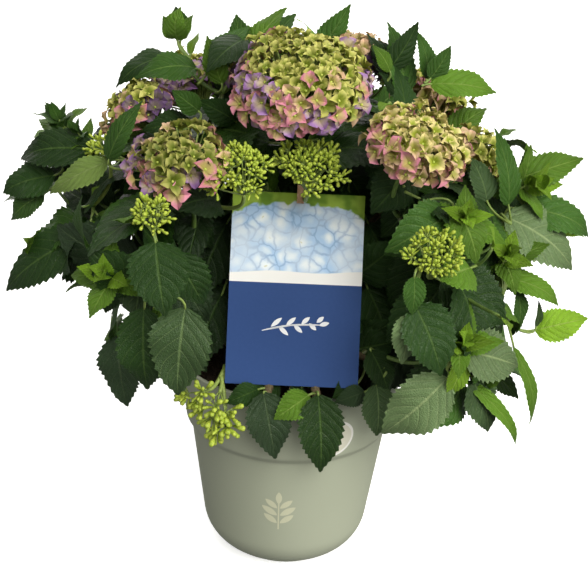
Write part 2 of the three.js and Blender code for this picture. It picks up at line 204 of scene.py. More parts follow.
elevation, pitch, roll = np.radians([CAMERA_ELEVATION, CAMERA_PITCH, CAMERA_ROLL])
eye = CAMERA_DISTANCE * np.array([0.0, -np.cos(elevation), np.sin(elevation)])
forward = np.array([0.0, np.cos(pitch), -np.sin(pitch)])
level = np.array([1.0, 0.0, 0.0])
overhead = np.cross(level, forward)
rightward = np.cos(roll) * level - np.sin(roll) * overhead
upward = np.sin(roll) * level + np.cos(roll) * overhead
camera = bpy.data.objects.new("camera", bpy.data.cameras.new("camera"))
camera.data.sensor_width = SENSOR_WIDTH
camera.data.lens = FOCAL_PIXELS / PICTURE_WIDTH * SENSOR_WIDTH
camera.matrix_world = Matrix.Translation(eye) @ Matrix(
    np.column_stack([rightward, upward, -forward]).tolist()).to_4x4()
bpy.context.scene.collection.objects.link(camera)
bpy.context.scene.camera = camera

for name, (strength, spread, direction) in LAMPS.items():
    lamp = bpy.data.objects.new(name, bpy.data.lights.new(name, "SUN"))
    lamp.data.energy = strength
    lamp.data.angle = np.radians(spread)
    lamp.data.color = LAMP_COLOUR
    lamp.rotation_euler = Vector(direction).to_track_quat("Z", "Y").to_euler()
    bpy.context.scene.collection.objects.link(lamp)

world = bpy.data.worlds.new("studio")
world.use_nodes = True
sky = world.node_tree.nodes["Background"]
sky.inputs["Color"].default_value = SKY_COLOUR
sky.inputs["Strength"].default_value = SKY_STRENGTH
bpy.context.scene.world = world
bpy.context.scene.view_settings.view_transform = "Standard"


# ------------------------------------------------------------------ pot
# A light tub of matt sage green plastic, injection moulded in one piece: a rolled lip over a
# deep collar, a soft step, a wall that narrows downward and a broad rounding to the flat foot.

POT_HEIGHT = 228.0
RIM_RADIUS = 119.9
WALL_SLOPE = 0.142               # how much the radius shrinks for each millimetre down
WALL = 2.5
FLOOR_THICKNESS = 3.0
LIP = 4.0                        # width of the rolled rim
COLLAR_FOOT = 147.0              # where the step under the collar starts
STEP_TOP = 157.0
COLLAR_STEP = 4.5                # how far the wall is set in under the collar
BASE_ROUND = 47.0                # radius of the rounding between wall and foot
FOOT_RADIUS = 58.0               # of the flat underside
FOOT_EDGE = (0.8, 0.6)           # width and height of the small chamfer round the underside
WALL_START = 60.0                # lowest ring of the straight wall
INNER_RINGS = (190.0, 150.0, 120.0, 90.0, 60.0)   # heights of the rings on the wall's inside
POT_SEGMENTS = 144


def wall_radius(height):
    """Outer radius of the wall: a cone, set in by COLLAR_STEP below a smooth step
    3u^2 - 2u^3 that runs from the collar's foot to the top of the step."""
    u = np.clip((np.asarray(height, float) - COLLAR_FOOT) / (STEP_TOP - COLLAR_FOOT), 0, 1)
    step = COLLAR_STEP * (1 - u * u * (3 - 2 * u))
    return RIM_RADIUS - WALL_SLOPE * (POT_HEIGHT - height) - step


def round_centre():
    """Radius at which the rounding's centre lies, so that its arc runs on into the wall."""
    return wall_radius(BASE_ROUND) - BASE_ROUND * np.hypot(1, WALL_SLOPE)


def foot_arc(inset, from_height, count):
    """The rounding between foot and wall, `inset` inside the outer surface:
    (centre + (R - inset) sin a, R - (R - inset) cos a), from a height up to the wall's slope."""
    centre = round_centre()
    radius = BASE_ROUND - inset
    angle = np.linspace(np.arccos((BASE_ROUND - from_height) / radius),
                        np.pi / 2 - np.arctan(WALL_SLOPE), count)
    return np.column_stack([centre + radius * np.sin(angle), BASE_ROUND - radius * np.cos(angle)])


def half_round(radius, height, size, count):
    """The upper half of a small circle: (radius + size cos a, height + size sin a), from its
    outer side over to its inner side."""
    angle = np.radians(np.linspace(0, 180, count))
    return np.column_stack([radius + size * np.cos(angle), height + size * np.sin(angle)])


def turned(profile, segments):
    """A profile (k, 2) of radius and height turned about Z: points (r cos a, r sin a, h). Its
    first and last points lie on the axis, so each end is one shared point."""
    angle = np.arange(segments) * 2 * np.pi / segments
    radius, height = profile[1:-1, :1], profile[1:-1, 1:]
    rings = np.stack([radius * np.cos(angle), radius * np.sin(angle),
                      height + 0 * angle], -1).reshape(-1, 3)
    ends = np.array([[0, 0, profile[0, 1]], [0, 0, profile[-1, 1]]])
    count = len(profile) - 2
    first = np.arange(segments)
    after = (first + 1) % segments
    row = np.arange(count - 1)[:, None] * segments
    quads = np.stack([row + first, row + after, row + segments + after, row + segments + first],
                     -1).reshape(-1, 4)
    low, high = count * segments, count * segments + 1
    last = (count - 1) * segments
    bottom = np.column_stack([after, first, np.full(segments, low)])
    top = np.column_stack([last + first, last + after, np.full(segments, high)])
    return np.vstack([rings, ends]), [quads, bottom, top]


def pot_profile():
    """Radius and height, from the middle of the underside out, up the wall, over the lip, down
    the inside and back to the middle of the pot's floor."""
    foot_height = BASE_ROUND - np.sqrt(BASE_ROUND ** 2 - (FOOT_RADIUS - round_centre()) ** 2)
    wall_heights = np.concatenate([np.linspace(WALL_START, COLLAR_FOOT - 3, 8),
                                   np.linspace(COLLAR_FOOT, STEP_TOP, 7),
                                   np.linspace(STEP_TOP + 3, POT_HEIGHT - LIP / 2 - 0.6, 6)])
    wall = np.column_stack([wall_radius(wall_heights), wall_heights])
    lip = half_round(RIM_RADIUS - LIP / 2, POT_HEIGHT - LIP / 2, LIP / 2, 9)
    inner_heights = np.array([POT_HEIGHT - 2 * LIP, *INNER_RINGS])
    inner_wall = np.column_stack([wall_radius(inner_heights) - WALL, inner_heights])
    outside = [[[0, 0], [FOOT_RADIUS - FOOT_EDGE[0], 0], [FOOT_RADIUS, FOOT_EDGE[1]]],
               foot_arc(0, foot_height, 12), wall, lip]
    inside = [inner_wall, foot_arc(WALL, FLOOR_THICKNESS, 8)[::-1], [[0, FLOOR_THICKNESS]]]
    return np.vstack(outside + inside)


def pot_finish():
    """Matt plastic: broad faint clouds of colour, paler specks and a very fine grain."""
    shader = Shader("sage_plastic", roughness=0.55, specular_ior_level=0.38)
    place = shader.place()
    cloud = shader.noise(place, 9.0, 2.0)
    grain = shader.noise(place, 2600.0, 2.0, 0.6)
    colour = shader.mix(cloud, (0.335, 0.362, 0.268), (0.372, 0.398, 0.300))
    speck = shader.ramp(grain, 0.35, 0.7)
    colour = shader.mix(shader.math("MULTIPLY", speck, 0.10), colour, (0.46, 0.48, 0.39))
    roughness = shader.ramp(cloud, 0.2, 0.8, 0.50, 0.62)
    return shader.finish(colour, roughness, shader.bump(grain, 0.00006, 0.35))


points, faces = turned(pot_profile(), POT_SEGMENTS)
pot = new_piece("moulded_pot", points * MM, faces, pot_finish())
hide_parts("pot")
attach(pot, "root")


# ------------------------------------------------------------------ print and sticker on the pot
# A plain leaf sprig is printed on the front of the pot in a paler ink, and an oval of beige
# paper with a white edge is stuck on the collar. Both follow the curve of the wall.

SPRIG_MIDDLE = (-6.0, 86.0)      # across and up the wall
SPRIG_HEIGHT = 46.0
PRINT_THICKNESS = 0.15
OVAL_MIDDLE = (45.0, 179.0)
OVAL_HALF = (25.0, 22.0)         # half width and half height
# Each layer of the sticker: how far it is drawn in, how far it stands off, and two colours.
OVAL_LAYERS = {
    "oval_sticker": (0.0, 1.0, (0.80, 0.79, 0.74), (0.74, 0.73, 0.68)),
    "oval_sticker_field": (2.6, 1.12, (0.64, 0.62, 0.51), (0.59, 0.58, 0.47)),
}


def leaf_shape(foot, tip, breadth, count=14):
    """A pointed flat leaf from foot to tip: half breadth b sin(pi t)^0.8 either side of a
    straight rib, as a closed outline."""
    foot, tip = np.array(foot, float), np.array(tip, float)
    t = np.linspace(0, 1, count)
    rib = foot + (tip - foot) * t[:, None]
    across = np.array([-(tip - foot)[1], (tip - foot)[0]]) / np.hypot(*(tip - foot))
    half = breadth * np.sin(np.pi * t)[:, None].clip(0) ** 0.8
    return np.vstack([rib + across * half, (rib - across * half)[-2:0:-1]])


def stem_shape(ends, width, bend=0.0, count=12):
    """A thin bar between two points, bowed sideways by bend times its length."""
    start, end = np.array(ends, float)
    t = np.linspace(0, 1, count)[:, None]
    across = np.array([-(end - start)[1], (end - start)[0]])
    line = start + (end - start) * t + across * bend * 4 * t * (1 - t)
    side = across / np.hypot(*across) * width / 2
    return np.vstack([line + side, (line - side)[::-1]])


def upright_sprig():
    """A stem with three pairs of leaves and one at its top, 1 unit high."""
    shapes = [stem_shape([(0, -0.5), (0, 0.3)], 0.035)]
    for height, reach, breadth in ((-0.32, 0.34, 0.075), (-0.1, 0.38, 0.08), (0.1, 0.30, 0.07)):
        for side in (-1, 1):
            shapes.append(leaf_shape((side * 0.03, height), (side * reach, height + 0.24), breadth))
    return shapes + [leaf_shape((0, 0.22), (0, 0.56), 0.07)]


def oval_shape(inset, count=56):
    """The ellipse (p cos a, q sin a) of the sticker's half sizes, drawn in by the inset."""
    a = np.linspace(0, 2 * np.pi, count, endpoint=False)
    return (np.array(OVAL_HALF) - inset) * np.column_stack([np.cos(a), np.sin(a)])


def filled(shapes, lift):
    """Each closed outline as a fan round its middle: points (n, 3) of x, y and lift, and
    triangles that face along the lift."""
    points, fans, first = [], [], 0
    for outline in shapes:
        count = len(outline)
        ring = first + np.arange(count)
        points += [outline, outline.mean(0)[None]]
        fans.append(np.column_stack([ring, np.roll(ring, -1), np.full(count, first + count)]))
        first += count + 1
    flat, fans = np.vstack(points), np.vstack(fans)
    a, b, c = (flat[fans[:, k]] for k in range(3))
    turned_over = np.cross(b - a, c - a) < 0
    fans[turned_over] = fans[turned_over][:, ::-1]
    return np.column_stack([flat, np.full(len(flat), lift)]), fans


def on_pot(flat, middle):
    """Wraps (across, up, lift) in millimetres round the wall's front."""
    height = middle[1] + flat[:, 1]
    turn = (middle[0] + flat[:, 0]) / wall_radius(middle[1])
    radius = wall_radius(height) + flat[:, 2]
    return np.column_stack([radius * np.sin(turn), -radius * np.cos(turn), height])


def ink_finish(name, colour, darker):
    """Flat ink or paper with a fine fleck between two near colours."""
    shader = Shader(name, roughness=0.6)
    return shader.finish(shader.mix(shader.noise(shader.place(), 900.0), colour, darker))


flat, fans = filled([shape * SPRIG_HEIGHT for shape in upright_sprig()], PRINT_THICKNESS)
sprig = new_piece("printed_sprig", on_pot(flat, SPRIG_MIDDLE) * MM, [fans],
                  ink_finish("pale_ink", (0.56, 0.56, 0.40), (0.50, 0.51, 0.36)))
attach(sprig, "root")

for name, (inset, lift, *colours) in OVAL_LAYERS.items():
    flat, fans = filled([oval_shape(inset)], lift)
    oval = new_piece(name, on_pot(flat, OVAL_MIDDLE) * MM, [fans],
                     ink_finish(name + "_paper", *colours))
    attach(oval, "root")


# ------------------------------------------------------------------ compost
# Dark moist compost fills the pot to a finger's breadth under the rim. Its top is uneven and
# strewn with crumbs.

COMPOST_TOP = 209.0
COMPOST_DEPTH = 30.0
COMPOST_RINGS = 40
COMPOST_SEGMENTS = 96
COMPOST_GAP = 0.4                # between the compost and the pot's wall
CRUMBS = 420
CRUMB_SIZE = (1.6, 4.6)
CRUMB_HEIGHT = 1.5               # of a crumb's middle over the compost
STEM_CLEAR = 34.0                # no crumb lies nearer to the middle than this


def rough(points, scale, seed):
    """Smooth noise from -1 to 1: the mean of six sine waves of random direction and phase,
    the last ones three times as fine as the first."""
    chance = np.random.default_rng(seed)
    total = np.zeros(points.shape[:-1])
    for step in range(6):
        way = chance.normal(size=points.shape[-1])
        way *= (1 + 0.4 * step) / np.linalg.norm(way)
        total += np.sin(points @ way * 2 * np.pi / scale + chance.uniform(0, 2 * np.pi))
    return total / 3


def lumps(middles, sizes, seed, squash=0.75):
    """Rough grains: the 12 points of an icosahedron round each middle, each moved in or out by
    up to a quarter of the grain's size."""
    chance = np.random.default_rng(seed)
    golden = (1 + 5 ** 0.5) / 2
    corners = np.array([(0, a, b * golden) for a in (-1, 1) for b in (-1, 1)])
    corners = np.vstack([np.roll(corners, k, 1) for k in range(3)]) / np.hypot(1, golden)
    near = np.linalg.norm(corners[:, None] - corners[None], axis=-1) < 1.1
    ways = [(i, j, k) for i in range(12) for j in range(i + 1, 12) for k in range(j + 1, 12)
            if near[i, j] and near[j, k] and near[i, k]]
    faces = np.array([way if np.dot(np.cross(corners[way[1]] - corners[way[0]],
                                             corners[way[2]] - corners[way[0]]),
                                    corners[way[0]]) > 0 else way[::-1] for way in ways])
    stretch = chance.uniform(0.75, 1.25, (len(middles), 12, 1))
    shape = corners * (1, 1, squash) * stretch * sizes[:, None, None]
    points = (middles[:, None] + shape).reshape(-1, 3)
    first = np.arange(len(middles))[:, None, None] * 12
    return points, (faces + first).reshape(-1, 3)


def compost_finish():
    """Dark crumbs in cloudy noise, with a few paler fibres drawn out along X and Z."""
    shader = Shader("moist_compost", roughness=0.93, specular_ior_level=0.25)
    place = shader.place()
    crumb = shader.noise(place, 420.0, 5.0, 0.65)
    colour = shader.mix(crumb, (0.010, 0.007, 0.005), (0.060, 0.038, 0.022))
    fibre = shader.ramp(shader.noise(shader.stretched(place, (1, 4, 1)), 260.0), 0.66, 0.72)
    colour = shader.mix(shader.math("MULTIPLY", fibre, 0.6), colour, (0.16, 0.10, 0.055))
    return shader.finish(colour, normal=shader.bump(crumb, 0.0016, 0.8))


inner_radius = wall_radius(COMPOST_TOP) - WALL - COMPOST_GAP
under = COMPOST_TOP - COMPOST_DEPTH
lower = [[0, under], [wall_radius(under) - WALL - COMPOST_GAP, under]]
upper = np.column_stack([np.linspace(inner_radius, 0, COMPOST_RINGS),
                         np.full(COMPOST_RINGS, COMPOST_TOP)])
points, faces = turned(np.vstack([lower, upper]), COMPOST_SEGMENTS)
on_top = points[:, 2] > COMPOST_TOP - 1
points[on_top, 2] += 1.5 * rough(points[on_top], 26, 3) + 0.8 * rough(points[on_top], 9, 4)
soil = new_piece("compost_surface", points * MM, faces, compost_finish())
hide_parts("compost")
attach(soil, "root")

chance = np.random.default_rng(11)
reach = np.sqrt(chance.uniform((STEM_CLEAR / inner_radius) ** 2, 0.93, CRUMBS)) * inner_radius
turn = chance.uniform(0, 2 * np.pi, CRUMBS)
middles = np.column_stack([reach * np.cos(turn), reach * np.sin(turn),
                           np.full(CRUMBS, COMPOST_TOP + CRUMB_HEIGHT)])
points, faces = lumps(middles, chance.uniform(*CRUMB_SIZE, CRUMBS), 12)
crumbs = new_piece("compost_crumbs", points * MM, [faces], compost_finish(), flat=True)
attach(crumbs, "root")


# ------------------------------------------------------------------ stem and canes
# The woody stump stands in the compost and carries fifteen canes. The bark is brown and split
# lengthwise into fine plates, and the canes swell slightly at each old leaf joint.

STEM_FOOT = COMPOST_TOP - 3.0
STEM_TOP = COMPOST_TOP + 34.3
STEM_TOP_RADIUS = 25.0
STEM_FLARE_RADIUS = 34.0
STEM_WAIST = 0.22                # how much the stump is drawn in at half its height
BARK_DEPTH = 1.2                 # how far the stump's relief is set in
STEM_RINGS = 26
STEM_SIDES = 64
CANE_FOOT_RADIUS = 4.4
CANE_TIP_RADIUS = 2.8
CANE_ROOT = 1.5                  # how far a cane's foot is let into the stump
CANE_JOINTS = 34.0               # distance between two swellings
JOINT_SWELLING = 0.7
JOINT_SHARPNESS = 9.0
FOOT_BAND = 1.2                  # a CAD cane's foot: its points this near to the lowest one
END_BAND = 5.0                   # and its end: the points this near to the farthest one
CANE_SIDES = 16
CANE_RINGS = 40
CANES = 15


def unit(vectors):
    """Each vector divided by its length."""
    return vectors / np.maximum(np.linalg.norm(vectors, axis=-1, keepdims=True), 1e-12)


def bezier(points, t):
    """The quadratic curve (1-t)^2 a + 2t(1-t) b + t^2 c; points are (..., 3, 3), and the
    result is (..., count, 3)."""
    t = np.asarray(t)[:, None]
    a, b, c = (points[..., None, k, :] for k in range(3))
    return (1 - t) ** 2 * a + 2 * t * (1 - t) * b + t ** 2 * c


def tubes(paths, radii, sides, relief=None):
    """Closed round bars along paths (n, k, 3) with radii (n, k): each ring is
    path + r (cos a u + sin a v), with u and v square to the path. `relief` (n, k, sides) is
    added to the radius. Each end is closed by a point in its middle."""
    count, rings = paths.shape[:2]
    along = unit(np.gradient(paths, axis=1))
    chord = unit(paths[:, -1] - paths[:, 0])
    spare = np.eye(3)[np.abs(chord).argmin(1)][:, None]
    u = unit(np.cross(along, spare))
    v = np.cross(along, u)
    angle = np.arange(sides) * 2 * np.pi / sides
    radius = radii[..., None] + (0 if relief is None else relief)
    ring = (paths[:, :, None] + radius[..., None] * (
        np.cos(angle)[:, None] * u[:, :, None] + np.sin(angle)[:, None] * v[:, :, None]))
    size = rings * sides + 2
    points = np.concatenate([ring.reshape(count, -1, 3), paths[:, :1], paths[:, -1:]], 1)
    first = np.arange(sides)
    after = (first + 1) % sides
    row = np.arange(rings - 1)[:, None] * sides
    quads = np.stack([row + first, row + after, row + sides + after, row + sides + first], -1)
    last = (rings - 1) * sides
    ends = np.vstack([np.column_stack([after, first, np.full(sides, size - 2)]),
                      np.column_stack([last + first, last + after, np.full(sides, size - 1)])])
    shift = np.arange(count)[:, None, None] * size
    return (points.reshape(-1, 3), (quads.reshape(1, -1, 4) + shift).reshape(-1, 4),
            (ends[None] + shift).reshape(-1, 3))


def bark_finish(name, young, old, ridge_depth):
    """Bark with long fine plates: noise drawn out along Z, from a young to an old colour."""
    shader = Shader(name, roughness=0.82, specular_ior_level=0.3)
    place = shader.place()
    plates = shader.noise(shader.stretched(place, (1, 1, 0.12)), 620.0, 4.0, 0.6)
    patches = shader.noise(place, 60.0, 3.0)
    colour = shader.mix(shader.ramp(plates, 0.3, 0.7), old, young)
    colour = shader.mix(shader.ramp(patches, 0.5, 0.75, 0.0, 0.55), colour,
                        tuple(0.45 * part for part in old))
    return shader.finish(colour, normal=shader.bump(plates, ridge_depth, 0.9))


def node_points(name):
    """The shared corner points of a CAD node, in millimetres."""
    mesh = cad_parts[name].data
    points = np.empty(len(mesh.vertices) * 3)
    mesh.vertices.foreach_get("co", points)
    return np.unique(np.round(points.reshape(-1, 3) / MM, 2), axis=0)


def cane_route(name):
    """Control points of a cane: from the middle of its cut foot, straight up, and over to its
    far end. The rise is the one whose curve lies nearest to the CAD bar's points."""
    points = node_points(name)
    foot = points[points[:, 2] < points[:, 2].min() + FOOT_BAND].mean(0)
    far = np.linalg.norm(points - foot, axis=1)
    end = points[far > far.max() - END_BAND].mean(0)
    t = np.linspace(0, 1, 30)
    tries = []
    for rise in np.linspace(0.1, 1.3, 25) * np.linalg.norm(end - foot) / 2:
        route = np.array([foot, foot + (0, 0, rise), end])
        gaps = np.linalg.norm(points[:, None] - bezier(route, t)[None], axis=-1).min(1)
        tries.append((gaps.mean(), rise))
    return np.array([foot, foot + (0, 0, min(tries)[1]), end])


heights = np.linspace(0, 1, STEM_RINGS)
flare = STEM_TOP_RADIUS + (STEM_FLARE_RADIUS - STEM_TOP_RADIUS) * (1 - heights)
flare *= 1 - STEM_WAIST * np.sin(np.pi * heights)
stem_path = np.column_stack([0 * heights, 0 * heights,
                             STEM_FOOT + (STEM_TOP - STEM_FOOT) * heights])[None]
turn = np.arange(STEM_SIDES) * 2 * np.pi / STEM_SIDES
around = np.stack([np.cos(turn) + 0 * heights[:, None], np.sin(turn) + 0 * heights[:, None],
                   0.7 * heights[:, None] + 0 * turn], -1)
relief = (0.8 * rough(around, 0.30, 21) + 1.6 * rough(around, 1.1, 22))[None]
points, quads, ends = tubes(stem_path, flare[None] - BARK_DEPTH, STEM_SIDES, relief)
stem = new_piece("bark_stem", points * MM, [quads, ends],
                 bark_finish("stem_bark", (0.20, 0.145, 0.085), (0.075, 0.052, 0.032), 0.0016))
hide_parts("stem")
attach(stem, "root")

cane_routes = np.array([cane_route(f"cane_{i + 1}") for i in range(CANES)])
cane_steps = np.linspace(0, 1, CANE_RINGS)
cane_paths = bezier(cane_routes, cane_steps)
cane_paths[:, 0, 2] -= CANE_ROOT
cane_lengths = np.linalg.norm(np.diff(cane_paths, axis=1), axis=2).sum(1)
joint_place = cane_lengths[:, None] * cane_steps / CANE_JOINTS
off_joint = joint_place - np.round(joint_place)
swelling = JOINT_SWELLING * np.exp(-(off_joint * JOINT_SHARPNESS) ** 2)
cane_radii = CANE_FOOT_RADIUS + (CANE_TIP_RADIUS - CANE_FOOT_RADIUS) * cane_steps + swelling
grid = np.stack(np.broadcast_arrays(np.arange(CANES)[:, None, None] * 9.0,
                                    joint_place[..., None] * 3,
                                    np.arange(CANE_SIDES) * 6.0 / CANE_SIDES), -1)
points, quads, ends = tubes(cane_paths, cane_radii, CANE_SIDES, 0.22 * rough(grid, 2.4, 23))
canes = new_piece("bark_canes", points * MM, [quads, ends],
                  bark_finish("cane_bark", (0.17, 0.135, 0.065), (0.085, 0.060, 0.034), 0.0007))
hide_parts(*[f"cane_{i + 1}" for i in range(CANES)])
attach(canes, "root")


# ------------------------------------------------------------------ how the shoots grow
# Each cane divides inside the crown. A side branch runs to the middle of every mass of leaves,
# and soft green shoots fan out from there to the crown's outside, where they get light.

SHOOT_TRIES = 90                 # directions tried from the middle of each mass of leaves
SHOOT_SPACING = 60.0             # least distance between two shoot tips
TIP_DEPTH = 16.0                 # how far a shoot's tip stays under the crown's outside
LOWEST_SHOOT = -0.62             # upward part of the lowest direction
MOST_INWARD = -0.25              # outward part of a direction that points back into the crown
OPEN_REACH = 14.0                # how far outside a mass its shoot has to find open space
OPEN_DEPTH = -3.0                # what counts as open: this deep in any other mass, or less
SHOOT_CARD_MARGIN = 4.0
INNER_TRIES = 26                 # the same for the shaded shoots inside the crown
INNER_SPACING = 40.0
INNER_REACH = 0.62               # share of the way to the mass's outside
SMALLEST_REACH = 30.0            # with less way than this, the shoot ends in the middle
INNER_CARD_MARGIN = 22.0
INNER_FLOWER_DEPTH = -14.0
HUB_SHIFT = 0.30                 # how far from a mass's middle to the core its branch ends
HUB_CARD_MARGIN = 12.0
HUB_CARD_SHIFT = 0.20            # and how much further back where the card is near
FLOWER_CLEARANCE = 9.0
RIM_CLEARANCE = 14.0             # how high shoots pass over the pot's rim
CORE = np.array([0.0, 10.0, 330.0])   # middle of the crown
CARD_HALF_WIDTH = 65.0
CARD_FOOT = np.array([1.5, -116.0, 243.0])        # middle of its lower edge
CARD_LENGTH = 189.0
CARD_LEAN = np.radians(25)
CARD_UP = np.array([0.0, np.sin(CARD_LEAN), np.cos(CARD_LEAN)])
CARD_OUT = np.array([0.0, -np.cos(CARD_LEAN), np.sin(CARD_LEAN)])
CARD_DEPTH = 5.0                 # how far the card and stick reach in front and behind


def shape_tree(name):
    """A search tree over a CAD node's triangles, in millimetres, with their outward sides."""
    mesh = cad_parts[name].data
    corners = [vertex.co / MM for vertex in mesh.vertices]
    return BVHTree.FromPolygons(corners, [tuple(p.vertices) for p in mesh.polygons])


mass_names = sorted(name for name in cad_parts
                    if "_leaves_" in name or name.startswith("leaves_"))
flower_names = sorted((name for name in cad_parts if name.startswith("flower_head_")),
                      key=lambda name: int(name.rsplit("_", 1)[1]))
trees = {name: shape_tree(name) for name in mass_names + flower_names}
middles = {name: node_points(name).mean(0) for name in trees}


def depth_in(name, point):
    """How far a point lies inside a solid, negative outside it."""
    spot, way, _, distance = trees[name].find_nearest(Vector(point))
    return distance if (Vector(point) - spot).dot(way) < 0 else -distance


def depth_in_crown(point):
    """The greatest depth in any leaf mass or flower head, negative outside all of them."""
    return max(depth_in(name, point) for name in trees)


def depth_in_flowers(point):
    """The greatest depth in any flower head, negative outside all of them."""
    return max(depth_in(name, point) for name in flower_names)


def near_card(point, margin):
    """True in front of the label card, or closer than the margin to its back and sides."""
    offset = np.asarray(point) - CARD_FOOT
    along, out = offset @ CARD_UP, offset @ CARD_OUT
    beside = abs(offset[0]) < CARD_HALF_WIDTH + margin
    return bool(beside and -margin < along < CARD_LENGTH + margin and out > -CARD_DEPTH - margin)


def crosses_card(path):
    """True where a path (n, 3) runs through the card or its stick, with 2 mm to spare at the
    card's edges and 8 mm for the hook at its top."""
    offset = path - CARD_FOOT
    along, out = offset @ CARD_UP, offset @ CARD_OUT
    return bool(((np.abs(offset[:, 0]) < CARD_HALF_WIDTH + 2) & (along > -2)
                 & (along < CARD_LENGTH + 8) & (np.abs(out) < CARD_DEPTH)).any())


def fibonacci(count):
    """Evenly spread directions: heights 1 - (2i + 1)/n, each turned by the golden angle."""
    i = np.arange(count)
    z = 1 - (2 * i + 1) / count
    turn = i * np.pi * (3 - 5 ** 0.5)
    radius = np.sqrt(1 - z * z)
    return np.column_stack([radius * np.cos(turn), radius * np.sin(turn), z])


def exposed_spots(name, directions):
    """Points where rays from a mass's middle leave the crown as a whole, with the way out."""
    spots = []
    for way in directions:
        hit = trees[name].ray_cast(Vector(middles[name]), Vector(way))
        if hit[0] is None or way[2] < LOWEST_SHOOT:
            continue
        point = np.array(hit[0])
        probe = point + OPEN_REACH * way
        if near_card(probe, SHOOT_CARD_MARGIN):
            continue
        if np.dot(way, unit(middles[name] - CORE)) < MOST_INWARD:
            continue
        if all(depth_in(other, probe) < OPEN_DEPTH for other in trees if other != name):
            spots.append((name, point, way))
    return spots


chance = np.random.default_rng(7)
candidates = [spot for name in mass_names
              for spot in exposed_spots(name, fibonacci(SHOOT_TRIES))]
chance.shuffle(candidates)
shoot_tips = []
for name, point, way in candidates:
    tip = point - TIP_DEPTH * way
    if all(np.linalg.norm(tip - other) > SHOOT_SPACING for _, other, _ in shoot_tips):
        shoot_tips.append((name, tip, way))

inner_tips = []
for name in mass_names:
    for way in fibonacci(INNER_TRIES):
        hit = trees[name].ray_cast(Vector(middles[name]), Vector(way))
        if hit[0] is None:
            continue
        tip = middles[name] + way * (INNER_REACH * hit[3] if hit[3] > SMALLEST_REACH else 0.0)
        clear = (not near_card(tip, INNER_CARD_MARGIN)
                 and depth_in_flowers(tip) < INNER_FLOWER_DEPTH)
        if clear and all(np.linalg.norm(tip - other) > INNER_SPACING
                         for _, other, _ in shoot_tips + inner_tips):
            inner_tips.append((name, tip, way))

limb_points = list(cane_paths)
branch_routes = []
hubs = {}
for name in sorted(mass_names, key=lambda n: min(
        np.linalg.norm(middles[n] - path[-1]) for path in cane_paths)):
    hub = middles[name] + HUB_SHIFT * (CORE - middles[name]) * (1, 1, 0.4)
    if near_card(hub, HUB_CARD_MARGIN):
        hub += HUB_CARD_SHIFT * (CORE - middles[name]) * (0, 1, 0)
    starts = np.vstack(limb_points)
    start = starts[np.linalg.norm(starts - hub, axis=1).argmin()]
    bend = (start + hub) / 2 + (0, 0, 0.12 * np.linalg.norm(hub - start))
    route = np.array([start, bend, hub])
    branch_routes.append(route)
    limb_points.append(bezier(route, np.linspace(0.2, 1, 8)))
    hubs[name] = hub

shoot_routes = []
for name, tip, way in shoot_tips + inner_tips:
    rise = unit(0.75 * way + np.array([0, 0, 0.45]))
    bend = tip - 0.5 * np.linalg.norm(tip - hubs[name]) * rise
    if np.hypot(*bend[:2]) < RIM_RADIUS + RIM_CLEARANCE:
        bend[2] = max(bend[2], POT_HEIGHT + RIM_CLEARANCE)
    shoot_routes.append(np.array([hubs[name], bend, tip]))
shoot_routes = np.array(shoot_routes)


# ------------------------------------------------------------------ leaves
# Soft broad leaves stand on the shoots in opposite pairs, each pair turned a quarter from the
# last. Old ones are long, dark and drooping, young ones small and yellow-green, and leaves deep
# in the crown and those near the card take darker tones as painted shade. A leaf is quilted
# between its side veins, with a saw-toothed edge and a drawn-out tip.

LEAF_ROWS = 13
LEAF_COLUMNS = np.array([-1.0, -0.52, 0.0, 0.52, 1.0])
SIDE_VEINS = 7.0
VEIN_SWEEP = 0.30                # how far a side vein runs forward on its way to the edge
TILES = 4                        # the map holds TILES x TILES slightly different leaves
TILE_FOOT = 0.04                 # where a leaf's rib starts in its tile
TILE_LENGTH = 0.92
TILE_HALF = 0.42                 # from the rib to either edge
# Pairs from a shoot's tip back: distance, leaf length, angle off the shoot, sag.
LEAF_PAIRS = (
    (1.0, 30.0, 22.0, 0.00),
    (9.0, 52.0, 44.0, 0.08),
    (28.0, 76.0, 64.0, 0.20),
    (56.0, 92.0, 78.0, 0.34),
    (88.0, 98.0, 86.0, 0.50),
)
# Blade and vein colours of each leaf tone. The tone shade is painted shade: a near-black green for
# leaves in the dark hollow left of and behind the card.
LEAF_TONES = {
    "deep": ((0.015, 0.045, 0.0065), (0.060, 0.115, 0.024)),
    "mid": ((0.038, 0.105, 0.012), (0.120, 0.215, 0.045)),
    "fresh": ((0.095, 0.205, 0.014), (0.210, 0.330, 0.060)),
    "bright": ((0.205, 0.385, 0.020), (0.340, 0.500, 0.085)),
    # The grey tones are greyish green that stands partly for painted sheen.
    "grey": ((0.130, 0.205, 0.080), (0.260, 0.340, 0.150)),
    "grey_mid": ((0.048, 0.094, 0.030), (0.130, 0.200, 0.072)),
    "grey_deep": ((0.026, 0.052, 0.020), (0.060, 0.095, 0.040)),
    "pale": ((0.170, 0.260, 0.055), (0.260, 0.350, 0.110)),
    "shade": ((0.0075, 0.022, 0.0040), (0.036, 0.072, 0.0160)),
}
TONE_NAMES = list(LEAF_TONES)

